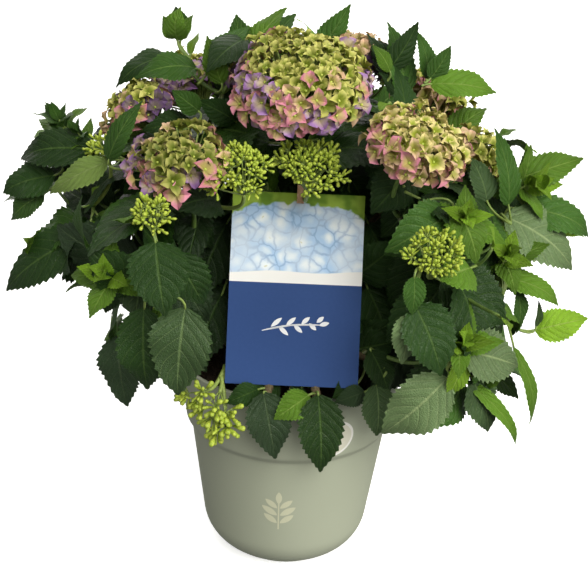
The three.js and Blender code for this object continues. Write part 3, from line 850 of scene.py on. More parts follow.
# Leaves with a place of their own: foot and tip, half breadth, tone and arch. Their upper
# sides turn outward and along NAMED_FACING.
NAMED_FACING = np.array([0.1, -0.62, 0.5])
NAMED_BREADTH = 0.93
NAMED_LEAVES = (
    ((-196, -45, 453), (-277, -10, 429), 20, "deep", 0.20),
    ((-179, -85, 455), (-238, -70, 415), 14, "pale", 0.10),
    ((-240, -30, 420), (-294, -20, 396), 20, "deep", 0.15),
    ((-251, -30, 400), (-286, -25, 369), 14, "mid", 0.15),
    ((-209, -60, 369), (-293, -30, 294), 25, "deep", 0.12),
    ((-124, -184, 415), (-113, -206, 352), 28, "deep", 0.10),
    ((-136, -168, 343), (-134, -160, 255), 25, "deep", 0.12),
    ((-168, -110, 286), (-161, -100, 204), 22, "grey_deep", 0.08),
    ((-97, -184, 352), (-104, -182, 262), 29, "grey_mid", 0.10),
    ((-229, -14, 431), (-249, -10, 406), 12, "deep", 0.05),
    ((52, 0, 420), (74, -10, 384), 20, "deep", 0.05),
    ((63, -20, 322), (77, -20, 290), 18, "deep", 0.05),
    ((77, -112, 283), (97, -120, 241), 15, "deep", 0.10),
    ((-106, -178, 402), (-82, -160, 346), 20, "deep", 0.10),
    ((-176, -90, 336), (-183, -90, 301), 15, "deep", 0.05),
    ((-177, -100, 461), (-144, -105, 521), 12, "mid", 0.12),
    ((-76, -64, 414), (-118, -134, 426), 22, "shade", 0.10),
    ((-92, -68, 400), (-102, -116, 358), 17, "shade", 0.10),
    ((-130, 20, 530), (-183, 0, 503), 15, "deep", 0.25),
    ((-104, 0, 526), (-162, -20, 519), 16, "mid", 0.20),
    ((-58, 40, 525), (-69, 60, 568), 15, "mid", 0.10),
    ((-42, 50, 520), (-9, 60, 571), 20, "mid", 0.12),
    ((14, 60, 530), (45, 60, 583), 14, "mid", 0.10),
    ((102, 30, 499), (82, 50, 569), 19, "mid", 0.10),
    ((95, 20, 500), (62, 50, 556), 19, "deep", 0.10),
    ((125, 30, 518), (111, 40, 563), 12, "mid", 0.10),
    ((126, 20, 520), (145, 30, 552), 11, "mid", 0.10),
    ((127, 20, 515), (195, 30, 506), 16, "fresh", 0.12),
    ((-57, 10, 555), (-92, -30, 530), 19, "deep", 0.12),
    ((203, -66, 421), (182, -66, 498), 14, "mid", 0.10),
    ((182, -34, 425), (211, -30, 400), 16, "deep", 0.05),
    ((216, -35, 435), (220, -30, 474), 7, "fresh", 0.10),
    ((215, -40, 441), (278, -25, 459), 16, "fresh", 0.12),
    ((212, -40, 410), (294, -20, 375), 19, "mid", 0.25),
    ((201, -60, 408), (276, -45, 349), 28, "grey", 0.15),
    ((180, -80, 429), (161, -75, 471), 15, "grey_mid", 0.10),
    ((145, -115, 436), (169, -135, 384), 20, "fresh", 0.15),
    ((143, -110, 426), (82, -140, 397), 25, "mid", 0.10),
    ((200, -60, 345), (266, -50, 311), 12, "fresh", 0.25),
    ((199, -58, 343), (252, -50, 326), 13, "mid", 0.15),
    ((245, -50, 284), (299, -40, 295), 17, "bright", 0.12),
    ((246, -50, 287), (245, -50, 317), 5, "grey_mid", 0.10),
    ((222, -60, 331), (225, -60, 284), 9, "mid", 0.10),
    ((159, -160, 310), (216, -140, 286), 25, "grey", 0.12),
    ((215, -110, 292), (243, -80, 189), 8, "fresh", 0.14),
    ((176, -120, 262), (199, -110, 198), 20, "grey_mid", 0.10),
    ((170, -120, 259), (231, -90, 173), 8, "fresh", 0.16),
    ((160, -165, 308), (148, -165, 262), 11, "bright", 0.12),
    ((147, -165, 283), (90, -155, 216), 28, "grey", 0.12),
    ((104, -196, 360), (100, -202, 313), 15, "grey", 0.10),
    ((106, -197, 397), (106, -198, 360), 11, "mid", 0.10),
    ((109, -190, 367), (137, -200, 302), 26, "deep", 0.10),
    ((122, -48, 434), (84, -38, 372), 24, "deep", 0.10),
    ((146, -96, 416), (84, -100, 378), 24, "mid", 0.14),
    ((84, 24, 525), (112, 38, 573), 13, "deep", 0.10),
    ((86, 15, 527), (67, 20, 552), 10, "fresh", 0.10),
    ((102, -20, 481), (90, 5, 535), 14, "deep", 0.10),
    ((-64, -15, 479), (-101, -25, 501), 14, "deep", 0.12),
    ((-104, -50, 484), (-150, -56, 478), 15, "deep", 0.12),
    ((-96, -60, 500), (-122, -62, 520), 11, "mid", 0.12),
    ((-92, 0, 522), (-54, 20, 565), 17, "mid", 0.12),
    ((-78, -10, 514), (-94, 0, 559), 12, "fresh", 0.12),
    ((-52, 10, 540), (-18, 30, 583), 13, "fresh", 0.10),
    ((72, -14, 378), (102, -34, 300), 28, "deep", 0.10),
    ((74, -40, 318), (104, -70, 240), 28, "deep", 0.10),
    ((132, -60, 372), (96, -52, 302), 28, "deep", 0.10),
    ((-70, -14, 372), (-98, -40, 294), 28, "shade", 0.10),
    ((-72, -44, 306), (-100, -80, 236), 28, "shade", 0.10),
    ((140, -110, 352), (92, -102, 288), 26, "deep", 0.12),
    ((152, -112, 280), (112, -112, 214), 26, "deep", 0.12),
    ((120, -30, 330), (72, -44, 346), 24, "grey_deep", 0.10),
    ((118, -60, 262), (80, -90, 226), 22, "grey_deep", 0.10),
    ((-128, -40, 408), (-82, -36, 352), 26, "shade", 0.10),
    ((-124, -60, 352), (-84, -62, 282), 28, "grey_deep", 0.10),
    ((-122, -70, 300), (-84, -80, 236), 26, "shade", 0.10),
    ((-112, -20, 452), (-76, -22, 396), 24, "shade", 0.10),
    ((-125, 28, 547), (-122, 27, 580), 14, "fresh", 0.22),
    ((-126, 38, 547), (-128, 38, 578), 13, "mid", -0.20),
    ((-127, 34, 547), (-140, 34, 569), 9, "fresh", 0.15),
    ((-122, 34, 547), (-110, 34, 571), 9, "fresh", 0.15),
    ((-25, -130, 242), (-11, -136, 172), 22, "grey_deep", 0.10),
    ((28, -130, 242), (34, -134, 158), 23, "deep", 0.10),
    ((-112, -30, 318), (-52, -20, 300), 24, "shade", 0.10),
    ((-144, -56, 438), (-168, -60, 414), 16, "deep", 0.05),
    ((-8, 34, 508), (-24, 92, 516), 26, "mid", 0.14),
    ((12, 66, 500), (-26, 122, 496), 28, "deep", 0.14),
    ((26, 84, 498), (34, 142, 488), 26, "mid", 0.14),
    ((-22, 58, 502), (-72, 92, 500), 26, "mid", 0.14),
    ((19, -128, 240), (-14, -140, 218), 15, "fresh", 0.10),
    ((74, -118, 241), (44, -126, 232), 11, "grey_deep", 0.10),
    ((-30, -120, 240), (-62, -130, 228), 12, "deep", 0.10),
    ((84, -122, 252), (87, -128, 198), 18, "grey_mid", 0.12),
    ((12, -108, 238), (2, -128, 226), 10, "deep", 0.05),
    ((-10, -104, 240), (-38, -122, 232), 14, "deep", 0.05),
    ((64, -104, 240), (42, -124, 236), 14, "deep", 0.05),
    ((106, -78, 462), (70, -86, 414), 24, "deep", 0.12),
    ((104, -40, 440), (66, -44, 426), 20, "deep", 0.12),
    ((58, -70, 262), (106, -86, 282), 22, "deep", 0.10),
    ((62, -50, 262), (100, -78, 300), 24, "deep", 0.10),
    ((60, -40, 330), (104, -44, 372), 24, "deep", 0.10),
    ((84, 70, 500), (100, 60, 548), 16, "deep", 0.10),
    ((-60, 30, 478), (-86, 30, 520), 18, "deep", 0.10),
)


# Flower buds: middle of each cluster, way it faces, radius, size of a bud.
BUD_CLUSTERS = (
    ((-56, -118, 464), (-0.15, -0.45, 0.85), 29, 1.0),
    ((11, -92, 462), (0.05, -0.45, 0.85), 30, 1.0),
    ((-131, -166, 432), (-0.1, -0.45, 0.85), 18, 1.0),
    ((125, -178, 412), (0.1, -0.5, 0.8), 24, 1.0),
    ((-187, -66, 463), (-0.3, -0.3, 0.9), 12, 1.0),
    ((-88, -140, 244), (-0.5, -0.7, 0.2), 15, 1.3),
    ((-72, -138, 224), (-0.2, -0.7, -0.6), 17, 1.5),
    ((-60, -136, 206), (0.1, -0.6, -0.8), 15, 1.6),
    ((150, 150, 440), (0.4, 0.5, 0.8), 20, 1.0),
    ((-60, 210, 430), (-0.2, 0.6, 0.75), 20, 1.0),
)
# Rosettes of young leaves at shoot tips: place, way it faces, leaf length, tone.
ROSETTES = (
    ((-237, -10, 470), (-0.4, -0.2, 0.9), 38, "mid"),
    ((-214, -40, 468), (-0.5, -0.3, 0.8), 28, "mid"),
    ((-171, -162, 372), (-0.2, -0.75, 0.6), 40, "bright"),
    ((202, -92, 379), (0.1, -0.75, 0.65), 42, "bright"),
    ((158, -168, 322), (0.1, -0.75, 0.65), 44, "bright"),
    ((156, -126, 428), (0.0, -0.75, 0.65), 40, "bright"),
    ((226, -50, 438), (0.65, -0.6, 0.45), 42, "bright"),
    ((-52, 55, 540), (-0.2, 0.0, 1.0), 30, "fresh"),
)
ROSETTE_LEAVES = 10
ROSETTE_SPREAD = (16, 17)        # degrees off its axis: the first pair, and more with each pair
ROSETTE_SIZE = (0.62, 0.13)      # share of the leaf length, in the same way
ROSETTE_STEP = 5.0               # between two pairs along the axis
HEAD_LEANS = (16, 24, 42, 20, 30, 16, 16, 30, 30, 32)   # degrees outward, head by head
HEAD_DROPS = (0, 3, 9, 9, 2, 4, 2, 0, 0, 0)             # how much lower the florets sit
COLLAR_LEAVES = 6                # round the stalk under each head
COLLAR_ROOM = 18.0               # least distance from another leaf
# Share of its length and added sag with which a crowded leaf is tried, one after the other.
LEAF_TRIES = ((1, 0), (1, 0.25), (0.85, 0.1), (0.85, -0.2), (0.7, 0.1))
LEAF_CARD_MARGIN = 3.0
STALK_SHARE = 0.16               # bare stalk between shoot and blade, as a share of the length
SIDE_SHARE = 0.26                # half breadth at which a leaf's sides are tested, likewise
EDGE_DEPTH = -11.0               # how far a leaf may reach out of the crown, and how far the
SHADED_DEPTH = 4.0               # shaded ones stay inside
# No leaf of a shoot hangs under the card in front of the pot: half width, front and top.
CARD_SHADOW = (128.0, -30.0, 236.0)
LEAF_ROOM = 0.26                 # least distance from another leaf, as a share of its length
SHADED_ROOM = 0.20
CARD_SHADE = 122.0               # leaves no farther to the side than this, in front, get darker tones as painted shade
SHEEN_GREY_SHARE = 0.16                # share of the older leaves that are greyish, partly painted sheen
AGE_TONES = ("bright", "fresh", "mid", "deep", "deep")
SHEEN_GREYED = {"mid": "grey_mid", "deep": "grey_deep"}
LIMB_TRIES = slice(0, 1200, 6)   # which of the nearest limb points a stalk is tried from


# Open places beside and between the leaves, seen from the camera: left, top, right and bottom
# in picture pixels. No shoot grows a leaf there.
OPEN_PLACES = (
    (0, 296, 102, 564), (98, 296, 114, 332), (102, 374, 186, 564), (0, 228, 22, 564),
    (0, 0, 116, 88), (0, 0, 164, 44), (90, 86, 104, 102), (14, 206, 46, 230),
    (196, 0, 240, 14), (118, 276, 126, 300), (386, 430, 588, 564), (533, 343, 588, 564),
    (514, 262, 588, 304), (493, 281, 510, 305), (500, 0, 588, 130), (440, 0, 588, 58),
    (484, 256, 500, 268), (352, 0, 588, 26), (540, 130, 588, 146), (0, 88, 34, 104),
    (526, 298, 538, 328), (490, 284, 512, 302), (340, 402, 386, 430),
    (526, 184, 588, 197), (571, 163, 588, 200),
    (55, 190, 70, 216), (100, 188, 130, 216), (0, 192, 16, 212),
)


def in_open_place(point):
    """True where a point lies in an open place, by its perspective picture position
    (294 + f x / d, 282 - f y / d), with x, y and depth d along the camera's own axes."""
    offset = np.asarray(point) * MM - eye
    depth = offset @ forward
    across = PICTURE_WIDTH / 2 + FOCAL_PIXELS * (offset @ rightward) / depth
    down = PICTURE_HEIGHT / 2 - FOCAL_PIXELS * (offset @ upward) / depth
    return any(left < across < right and top < down < bottom
               for left, top, right, bottom in OPEN_PLACES)


def in_front_of(spots, places, radii):
    """True where a spot lies within a radius of the straight line from the camera to one of
    the places, and nearer than that place."""
    lines = places - eye / MM
    offset = np.asarray(spots)[:, None] - eye / MM
    share = (offset * lines).sum(-1) / (lines ** 2).sum(-1)
    gap = np.linalg.norm(offset - share[..., None] * lines, axis=-1)
    return bool(((gap < radii) & (share < 0.995)).any())


def leaf_breadth(t):
    """Half breadth of a leaf, at most 1: t^0.66 (1 - t)^1.18, scaled to its peak at the share
    0.66 / (0.66 + 1.18) of its length."""
    peak = 0.66 / 1.84
    most = peak ** 0.66 * (1 - peak) ** 1.18
    return (t + 0.004) ** 0.66 * (1 - t) ** 1.18 / most


def leaf_blades(feet, tips, facing, half_breadth, arch, fold, curl, ripple, phase):
    """Leaves as points (n, p, 3). The rib is foot + chord t + 4 arch L t(1-t) N, with N square
    to the chord. A point at s from the rib to an edge, from -1 to 1, lies s w(t) to the side,
    and fold |s| w - curl s^2 w + ripple |s|^1.5 sin(k t + phase) above it."""
    chord = tips - feet
    length = np.linalg.norm(chord, axis=1, keepdims=True)
    ahead = chord / length
    normal = unit(facing - (facing * ahead).sum(1, keepdims=True) * ahead)
    side = np.cross(normal, ahead)
    rows = np.arange(LEAF_ROWS) / LEAF_ROWS
    tooth_rows = (np.arange(LEAF_ROWS) + 0.74) / LEAF_ROWS
    t = np.concatenate([np.repeat(rows, 5), [1.0], np.repeat(tooth_rows, 2)])
    s = np.concatenate([np.tile(LEAF_COLUMNS, LEAF_ROWS), [0.0], np.tile([-1.0, 1.0], LEAF_ROWS)])
    breadth = leaf_breadth(t)
    tooth = np.concatenate([np.zeros(5 * LEAF_ROWS + 1),
                            np.repeat(0.055 + 0.075 * leaf_breadth(tooth_rows), 2)])
    breadth[5 * LEAF_ROWS + 1:] += tooth[5 * LEAF_ROWS + 1:]
    breadth = breadth[None] * half_breadth[:, None]
    rise = arch[:, None] * length * 4
    rib = (feet[:, None] + chord[:, None] * t[:, None]
           + (rise * t * (1 - t))[..., None] * normal[:, None])
    slope = unit(chord[:, None] + (rise * (1 - 2 * t))[..., None] * normal[:, None])
    up = np.cross(slope, side[:, None])
    lift = breadth * (fold[:, None] * np.abs(s) - curl[:, None] * s ** 2)
    lift += (ripple * half_breadth)[:, None] * np.abs(s) ** 1.5 * leaf_breadth(t) ** 0.5 * np.sin(
        11 * t + 2.1 * np.sign(s) + phase[:, None])
    points = rib + side[:, None] * (s * breadth)[..., None] + up * lift[..., None]
    return points, t, s


def leaf_faces():
    """Quads between the rows, two pairs of triangles to the tip, and a tooth on every step of
    either edge, all facing the leaf's upper side."""
    row, column = np.meshgrid(np.arange(LEAF_ROWS - 1), np.arange(4), indexing="ij")
    corner = row * 5 + column
    quads = np.stack([corner, corner + 1, corner + 6, corner + 5], -1).reshape(-1, 4)[:, ::-1]
    last, tip = (LEAF_ROWS - 1) * 5, LEAF_ROWS * 5
    ends = [(tip, last + k + 1, last + k) for k in range(4)]
    teeth = []
    for k in range(LEAF_ROWS):
        left, right = k * 5, k * 5 + 4
        next_left = left + 5 if k < LEAF_ROWS - 1 else tip
        next_right = right + 5 if k < LEAF_ROWS - 1 else tip
        teeth += [(left, tip + 1 + 2 * k, next_left), (right, next_right, tip + 2 + 2 * k)]
    return quads, np.array(ends + teeth)


def map_places(tiles, t, s):
    """Places on the map (n, p, 2): each blade lies in its own tile, with its rib along x from
    TILE_FOOT over TILE_LENGTH t and its sides TILE_HALF s across."""
    local = np.column_stack([TILE_FOOT + TILE_LENGTH * t, 0.5 + TILE_HALF * s])
    return (tiles[:, None] + local[None]) / TILES


def tile_sockets(shader):
    """The tile that a point lies in, its place there as a vector, and that place's x and y."""
    grid = shader.node("ShaderNodeUVMap", 0)
    grid.node.uv_map = "OFBake"
    scaled = shader.vector_math("MULTIPLY", grid, (TILES, TILES, 1.0))
    tile = shader.vector_math("FLOOR", scaled, (0, 0, 0))
    local = shader.vector_math("SUBTRACT", scaled, tile)
    split = shader.node("ShaderNodeSeparateXYZ", 0, _0=local)
    return tile, local, split, split.node.outputs[1]


def blade_piece(name, chosen, points, quads, triangles, places, material, flat=False):
    """One mesh of the chosen blades out of points (n, p, 3), with the faces of one blade
    repeated for each of them."""
    shift = np.arange(len(chosen))[:, None, None] * points.shape[1]
    return new_piece(name, points[chosen].reshape(-1, 3) * MM,
                     [(quads + shift).reshape(-1, 4), (triangles + shift).reshape(-1, 3)],
                     material, uv=places[chosen].reshape(-1, 2), flat=flat)


def leaf_finish(tone, blade, vein):
    """Colour and quilting from the leaf's own map: x runs along the rib, y across it. Side
    veins leave the rib SIDE_VEINS times and sweep forward as |y|^1.25. The puffs between them
    are painted lighter, a painted highlight as well as their bump."""
    shader = Shader(f"leaf_{tone}", roughness=0.45, specular_ior_level=0.24)
    tile, local, x, y = tile_sockets(shader)
    along = shader.math("DIVIDE", shader.math("SUBTRACT", x, TILE_FOOT), TILE_LENGTH)
    across = shader.math("DIVIDE", shader.math("SUBTRACT", y, 0.5), TILE_HALF)
    off_rib = shader.math("ABSOLUTE", across)
    sweep = shader.math("MULTIPLY", shader.math("POWER", off_rib, 1.25), VEIN_SWEEP)
    wave = shader.math("MULTIPLY", shader.math("SUBTRACT", along, sweep), SIDE_VEINS)
    # Distance from the nearest side vein, 0 on it and 1 halfway between two.
    between = shader.math("MULTIPLY", shader.math("PINGPONG", wave, 0.5), 2.0)
    side_vein = shader.ramp(between, 0.0, 0.17, 1.0, 0.0)
    rib = shader.ramp(off_rib, 0.015, 0.075, 1.0, 0.0)
    vary = shader.node("ShaderNodeTexWhiteNoise", 0, Vector=tile)
    fine = shader.noise(local, 22.0, 4.0, 0.6)
    mesh_veins = shader.node("ShaderNodeTexVoronoi", 0, Vector=shader.stretched(
        local, (46.0, 30.0, 1.0)), Scale=1.0)
    mesh_veins.node.feature = "DISTANCE_TO_EDGE"
    darker = tuple(0.62 * part for part in blade)
    lighter = tuple(1.30 * part for part in blade)
    colour = shader.mix(vary, darker, lighter)
    colour = shader.mix(shader.ramp(fine, 0.3, 0.75, 0.0, 0.30), colour, darker)
    # painted highlight: lighter towards the middle of each puff between two side veins
    colour = shader.mix(shader.ramp(between, 0.25, 1.0, 0.0, 0.22), colour, lighter)
    colour = shader.mix(shader.ramp(mesh_veins, 0.0, 0.12, 0.14, 0.0), colour, vein)
    colour = shader.mix(shader.math("MULTIPLY", side_vein, 0.52), colour, vein)
    colour = shader.mix(shader.math("MULTIPLY", rib, 0.85), colour, vein)
    quilt = shader.math("POWER", between, 0.5)
    height = shader.math("ADD", quilt, shader.math("MULTIPLY", shader.ramp(
        mesh_veins, 0.0, 0.30), 0.45))
    height = shader.math("SUBTRACT", height, shader.math("MULTIPLY", rib, 0.6))
    roughness = shader.ramp(fine, 0.25, 0.8, 0.36, 0.54)
    return shader.finish(colour, roughness, shader.bump(height, 0.0012, 0.8))


def head_shape(number):
    """The way a head faces, upright but tipped outward by its lean, and its mean half width."""
    name = flower_names[number]
    outward = unit(middles[name] * (1, 1, 0))
    lean = np.radians(HEAD_LEANS[number])
    axis = np.cos(lean) * np.array([0, 0, 1.0]) + np.sin(lean) * outward
    return axis, np.ptp(node_points(name), axis=0)[:2].mean() / 2


def grow_leaf(foot, ahead, facing, length, sag, least_depth):
    """A leaf's foot and tip on a short stalk, or None where it would leave the crown, cover
    the card, cut the pot's rim, or reach into a flower head or an open place. A leaf that
    doesn't fit is tried shorter, and hanging lower or higher."""
    half_width, front, top = CARD_SHADOW
    for shrink, droop in LEAF_TRIES:
        way = unit(ahead + np.array([0, 0, -1]) * (sag + droop))
        base = foot + way * STALK_SHARE * length
        tip = base + way * length * shrink
        middle = base + way * length * shrink * 0.5
        side = unit(np.cross(facing, way)) * SIDE_SHARE * length * shrink
        spots = (tip, middle, middle + side, middle - side)
        if any(near_card(spot, LEAF_CARD_MARGIN) for spot in spots):
            continue
        if tip[2] < POT_HEIGHT + 9 and np.hypot(*tip[:2]) < RIM_RADIUS + 7:
            continue
        if middle[2] < POT_HEIGHT + 3 and np.hypot(*middle[:2]) < RIM_RADIUS + 3:
            continue
        if depth_in_crown(tip) < least_depth or depth_in_crown(middle) < least_depth - 5:
            continue
        if any(abs(spot[0]) < half_width and spot[1] < front and spot[2] < top
               for spot in spots):
            continue
        if any(depth_in_flowers(spot) > -FLOWER_CLEARANCE for spot in spots):
            continue
        if any(in_open_place(spot) for spot in spots):
            continue
        if in_front_of(spots, seen_places, seen_radii):
            continue
        return base, tip
    return None


def limb_near(wanted, foot):
    """The limb point nearest to a wanted place from which a straight line to the foot stays
    clear of the card."""
    order = np.argsort(np.linalg.norm(limbs - wanted, axis=1))
    share = np.linspace(0, 0.97, 30)[:, None]
    for index in order[LIMB_TRIES]:
        if not crosses_card(limbs[index] + share * (foot - limbs[index])):
            return limbs[index]
    return limbs[order[0]]


def crowded(middle, taken, room):
    """True where a leaf's middle lies nearer than the room it needs to one already taken."""
    return len(taken) and np.linalg.norm(np.array(taken) - middle, axis=1).min() < room


# What stays in sight: three places along each leaf named above, buds, rosettes and heads.
shares = np.array([[0.25], [0.5], [0.75]])
seen_places = np.vstack([(1 - shares) * foot + shares * tip
                         for foot, tip, *_ in NAMED_LEAVES]
                        + [[cluster[0] for cluster in BUD_CLUSTERS]]
                        + [[rosette[0] for rosette in ROSETTES]]
                        + [[middles[name] for name in flower_names]])
seen_radii = np.concatenate([np.repeat([0.75 * leaf[2] for leaf in NAMED_LEAVES], 3),
                             [cluster[2] for cluster in BUD_CLUSTERS],
                             [0.45 * rosette[2] for rosette in ROSETTES],
                             np.full(len(flower_names), 34.0)])
leaves = []                      # foot, tip, facing, half breadth, tone, arch, stalk's start
taken = []
limbs = np.vstack([path[4:] for path in cane_paths]
                  + [bezier(route, np.linspace(0, 1, 20))
                     for route in (*branch_routes, *shoot_routes)])
for foot, tip, half, tone, arch in NAMED_LEAVES:
    foot, tip = np.array(foot, float), np.array(tip, float)
    middle = (foot + tip) / 2
    outward = unit((middle - CORE) * (1, 1, 0))
    facing = unit(0.35 * outward + NAMED_FACING)
    start = limb_near(foot - 0.2 * (tip - foot), foot)
    leaves.append((foot, tip, facing, NAMED_BREADTH * half, TONE_NAMES.index(tone), arch, start))
    taken += [middle, 0.3 * foot + 0.7 * tip]

chance = np.random.default_rng(17)
for place, way, length, tone in ROSETTES:
    place, way = np.array(place, float), unit(np.array(way))
    u = unit(np.cross(way, (0.1, 0.2, 1.0)))
    v = np.cross(way, u)
    start = limb_near(place - 30 * way, place)
    taken.append(place + 0.5 * length * way)
    for k in range(ROSETTE_LEAVES):
        rank = k // 2
        turn = rank * np.pi / 2 + (k % 2) * np.pi + chance.normal(0, 0.2)
        spread = np.radians(ROSETTE_SPREAD[0] + ROSETTE_SPREAD[1] * rank + chance.normal(0, 6))
        ahead = np.cos(spread) * way + np.sin(spread) * (np.cos(turn) * u + np.sin(turn) * v)
        foot = place - way * ROSETTE_STEP * rank
        share = ROSETTE_SIZE[0] + ROSETTE_SIZE[1] * rank
        size = length * share * chance.uniform(0.85, 1.1)
        leaves.append((foot, foot + size * ahead, way, size * chance.uniform(0.22, 0.30),
                       TONE_NAMES.index(tone if rank < 3 else "fresh"),
                       chance.uniform(0.05, 0.22), start))

chance = np.random.default_rng(18)
for number, name in enumerate(flower_names):
    axis, across = head_shape(number)
    u = unit(np.cross(axis, (0.2, 1.0, 0.1)))
    v = np.cross(axis, u)
    for k in range(COLLAR_LEAVES):
        turn = k * 2 * np.pi / COLLAR_LEAVES + chance.uniform(-0.25, 0.25)
        way = np.cos(turn) * u + np.sin(turn) * v
        foot = middles[name] - axis * (0.85 * across + 6) + way * 10
        size = (across + 38) * chance.uniform(0.9, 1.15)
        placed = grow_leaf(foot, way + 0.15 * axis, axis, size, 0.1, EDGE_DEPTH)
        if placed is None:
            continue
        middle = (placed[0] + placed[1]) / 2
        if crowded(middle, taken, COLLAR_ROOM):
            continue
        leaves.append((placed[0], placed[1], axis, 0.29 * size,
                       TONE_NAMES.index(("mid", "deep")[k % 2]), 0.12, foot))
        taken.append(middle)

shoot_ends = np.zeros(len(shoot_routes))
chance = np.random.default_rng(19)
for index, ((name, tip, way), route) in enumerate(zip(shoot_tips + inner_tips, shoot_routes)):
    shaded = index >= len(shoot_tips)
    curve = bezier(route, np.linspace(0, 1, 60))
    if crosses_card(curve):
        continue
    back = np.concatenate([[0], np.cumsum(np.linalg.norm(np.diff(curve[::-1], axis=0), axis=1))])
    quarter = chance.uniform(0, np.pi)
    for pair, (distance, length, angle, sag) in enumerate(LEAF_PAIRS):
        if shaded and pair < 2:
            continue
        distance -= 24 * shaded
        if distance > back[-1]:
            break
        place = 59 - int(np.searchsorted(back, distance))
        foot = curve[place]
        axis = unit(curve[min(place + 1, 59)] - curve[max(place - 1, 0)])
        u = unit(np.cross(axis, (0.3, 0.2, 1.0)))
        v = np.cross(axis, u)
        turn = quarter + pair * np.pi / 2 + chance.normal(0, 0.15)
        for side in (0, np.pi):
            spread = np.radians(angle + chance.normal(0, 7))
            sideways = np.cos(turn + side) * u + np.sin(turn + side) * v
            ahead = np.cos(spread) * axis + np.sin(spread) * sideways
            facing = unit(0.8 * axis + 0.45 * unit(tip - CORE) + np.array([0, 0, 0.4]))
            size = length * chance.uniform(0.86, 1.12)
            placed = grow_leaf(foot, ahead, facing, size, sag + chance.normal(0, 0.06),
                               SHADED_DEPTH if shaded else EDGE_DEPTH)
            # Leaves of the shaded shoots inside the crown count one pair older, for darker tones:
            # painted shade.
            age_and_shade = pair + chance.normal(0, 0.45) + shaded
            if placed is None:
                continue
            middle = (placed[0] + placed[1]) / 2
            # Leaves in front near the card, up to a little over the crown's middle, are aged on for
            # darker tones: painted shade.
            if abs(middle[0]) < CARD_SHADE and middle[1] < 0 and middle[2] < CORE[2] + 110:
                age_and_shade += 1.5
            room = (SHADED_ROOM if shaded else LEAF_ROOM) * size
            if pair > 0 and crowded(middle, taken, room):
                continue
            tone = AGE_TONES[int(np.clip(round(age_and_shade), 0, len(AGE_TONES) - 1))]
            # Some older leaves turn greyish at random: partly painted sheen.
            if tone in SHEEN_GREYED and chance.uniform() < SHEEN_GREY_SHARE:
                tone = SHEEN_GREYED[tone]
            half = size * chance.uniform(0.27, 0.33) * (0.8 if pair == 0 else 1.0)
            leaves.append((placed[0], placed[1], facing, half, TONE_NAMES.index(tone),
                           chance.uniform(0.06, 0.16), foot))
            taken.append(middle)
            shoot_ends[index] = max(shoot_ends[index], place / 59)

feet, tips, facing = (np.array([leaf[k] for leaf in leaves]) for k in range(3))
half_breadth, tone_of, arch = (np.array([leaf[k] for leaf in leaves]) for k in (3, 4, 5))
stalk_starts = np.array([leaf[6] for leaf in leaves])
count = len(leaves)
fold = chance.uniform(0.14, 0.50, count)
points, t, s = leaf_blades(feet, tips, facing, half_breadth, arch, fold,
                           fold * 0.55 + chance.uniform(0.0, 0.2, count),
                           chance.uniform(0.06, 0.19, count), chance.uniform(0, 6.3, count))
quads, triangles = leaf_faces()
places = map_places(chance.integers(0, TILES, (count, 2)), t, s)
for number, tone in enumerate(TONE_NAMES):
    blades = blade_piece(f"leaves_{tone}", np.flatnonzero(tone_of == number), points, quads,
                         triangles, places, leaf_finish(tone, *LEAF_TONES[tone]))
    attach(blades, "root")
    if tone == "mid":
        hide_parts("young_shoot", *mass_names)


# ------------------------------------------------------------------ shoots and leaf stalks
# The green shoots are round, smooth and finger thick where they leave the branches. Every leaf
# has its own fleshy stalk, which bends from the shoot into the leaf's rib.

BRANCH_RADII = (2.8, 2.3)
SHOOT_RADII = (2.3, 1.5)
STALK_RADII = (1.5, 1.1)
MOST_STALK_BEND = 14.0           # how far behind a leaf its stalk starts to turn


def green_wood_finish(name, young, old):
    """Soft green bark with fine streaks drawn out along Z, between two colours."""
    shader = Shader(name, roughness=0.5, specular_ior_level=0.4)
    place = shader.place()
    streaks = shader.noise(shader.stretched(place, (1, 1, 0.2)), 500.0, 3.0)
    colour = shader.mix(shader.ramp(streaks, 0.3, 0.7), old, young)
    return shader.finish(colour, normal=shader.bump(streaks, 0.0003, 0.5))


def limb_piece(name, routes, radii, material, sides, rings):
    """One mesh of round bars along quadratic curves, each thinning evenly between two radii."""
    steps = np.linspace(0, 1, rings)
    thickness = radii[0] + (radii[1] - radii[0]) * steps
    points, quads, ends = tubes(bezier(np.array(routes), steps),
                                np.broadcast_to(thickness, (len(routes), rings)), sides)
    piece = new_piece(name, points * MM, [quads, ends], material)
    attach(piece, "root")
    return piece


shoot_colour = green_wood_finish("shoot_green", (0.13, 0.21, 0.042), (0.075, 0.13, 0.026))
limb_piece("branches", branch_routes, BRANCH_RADII,
           green_wood_finish("branch_green", (0.11, 0.14, 0.040), (0.06, 0.07, 0.025)),
           sides=8, rings=12)

# A shoot is cut off at its last leaf: the first part of the same quadratic curve.
grown = np.flatnonzero(shoot_ends)
shares = shoot_ends[grown, None]
foot, bend, end = (shoot_routes[grown, k] for k in range(3))
cut_bend = foot + shares * (bend - foot)
cut_end = cut_bend + shares * (bend + shares * (end - bend) - cut_bend)
limb_piece("shoots", np.stack([foot, cut_bend, cut_end], 1), SHOOT_RADII, shoot_colour,
           sides=8, rings=14)

rib_start = unit(tips - feet)
stalk_reach = np.linalg.norm(feet - stalk_starts, axis=1, keepdims=True)
bends = feet - np.minimum(0.45 * stalk_reach, MOST_STALK_BEND) * rib_start
limb_piece("leaf_stalks", np.stack([stalk_starts, bends, feet + 1.5 * rib_start], 1), STALK_RADII,
           green_wood_finish("stalk_green", (0.24, 0.32, 0.075), (0.15, 0.23, 0.050)),
           sides=5, rings=7)


# ------------------------------------------------------------------ flower heads
# Each mophead is a dome of many four-petalled florets on thin stalks. The middle ones are still
# small, cupped and lime green, and the ones round the rim are open, larger and pink or lilac.

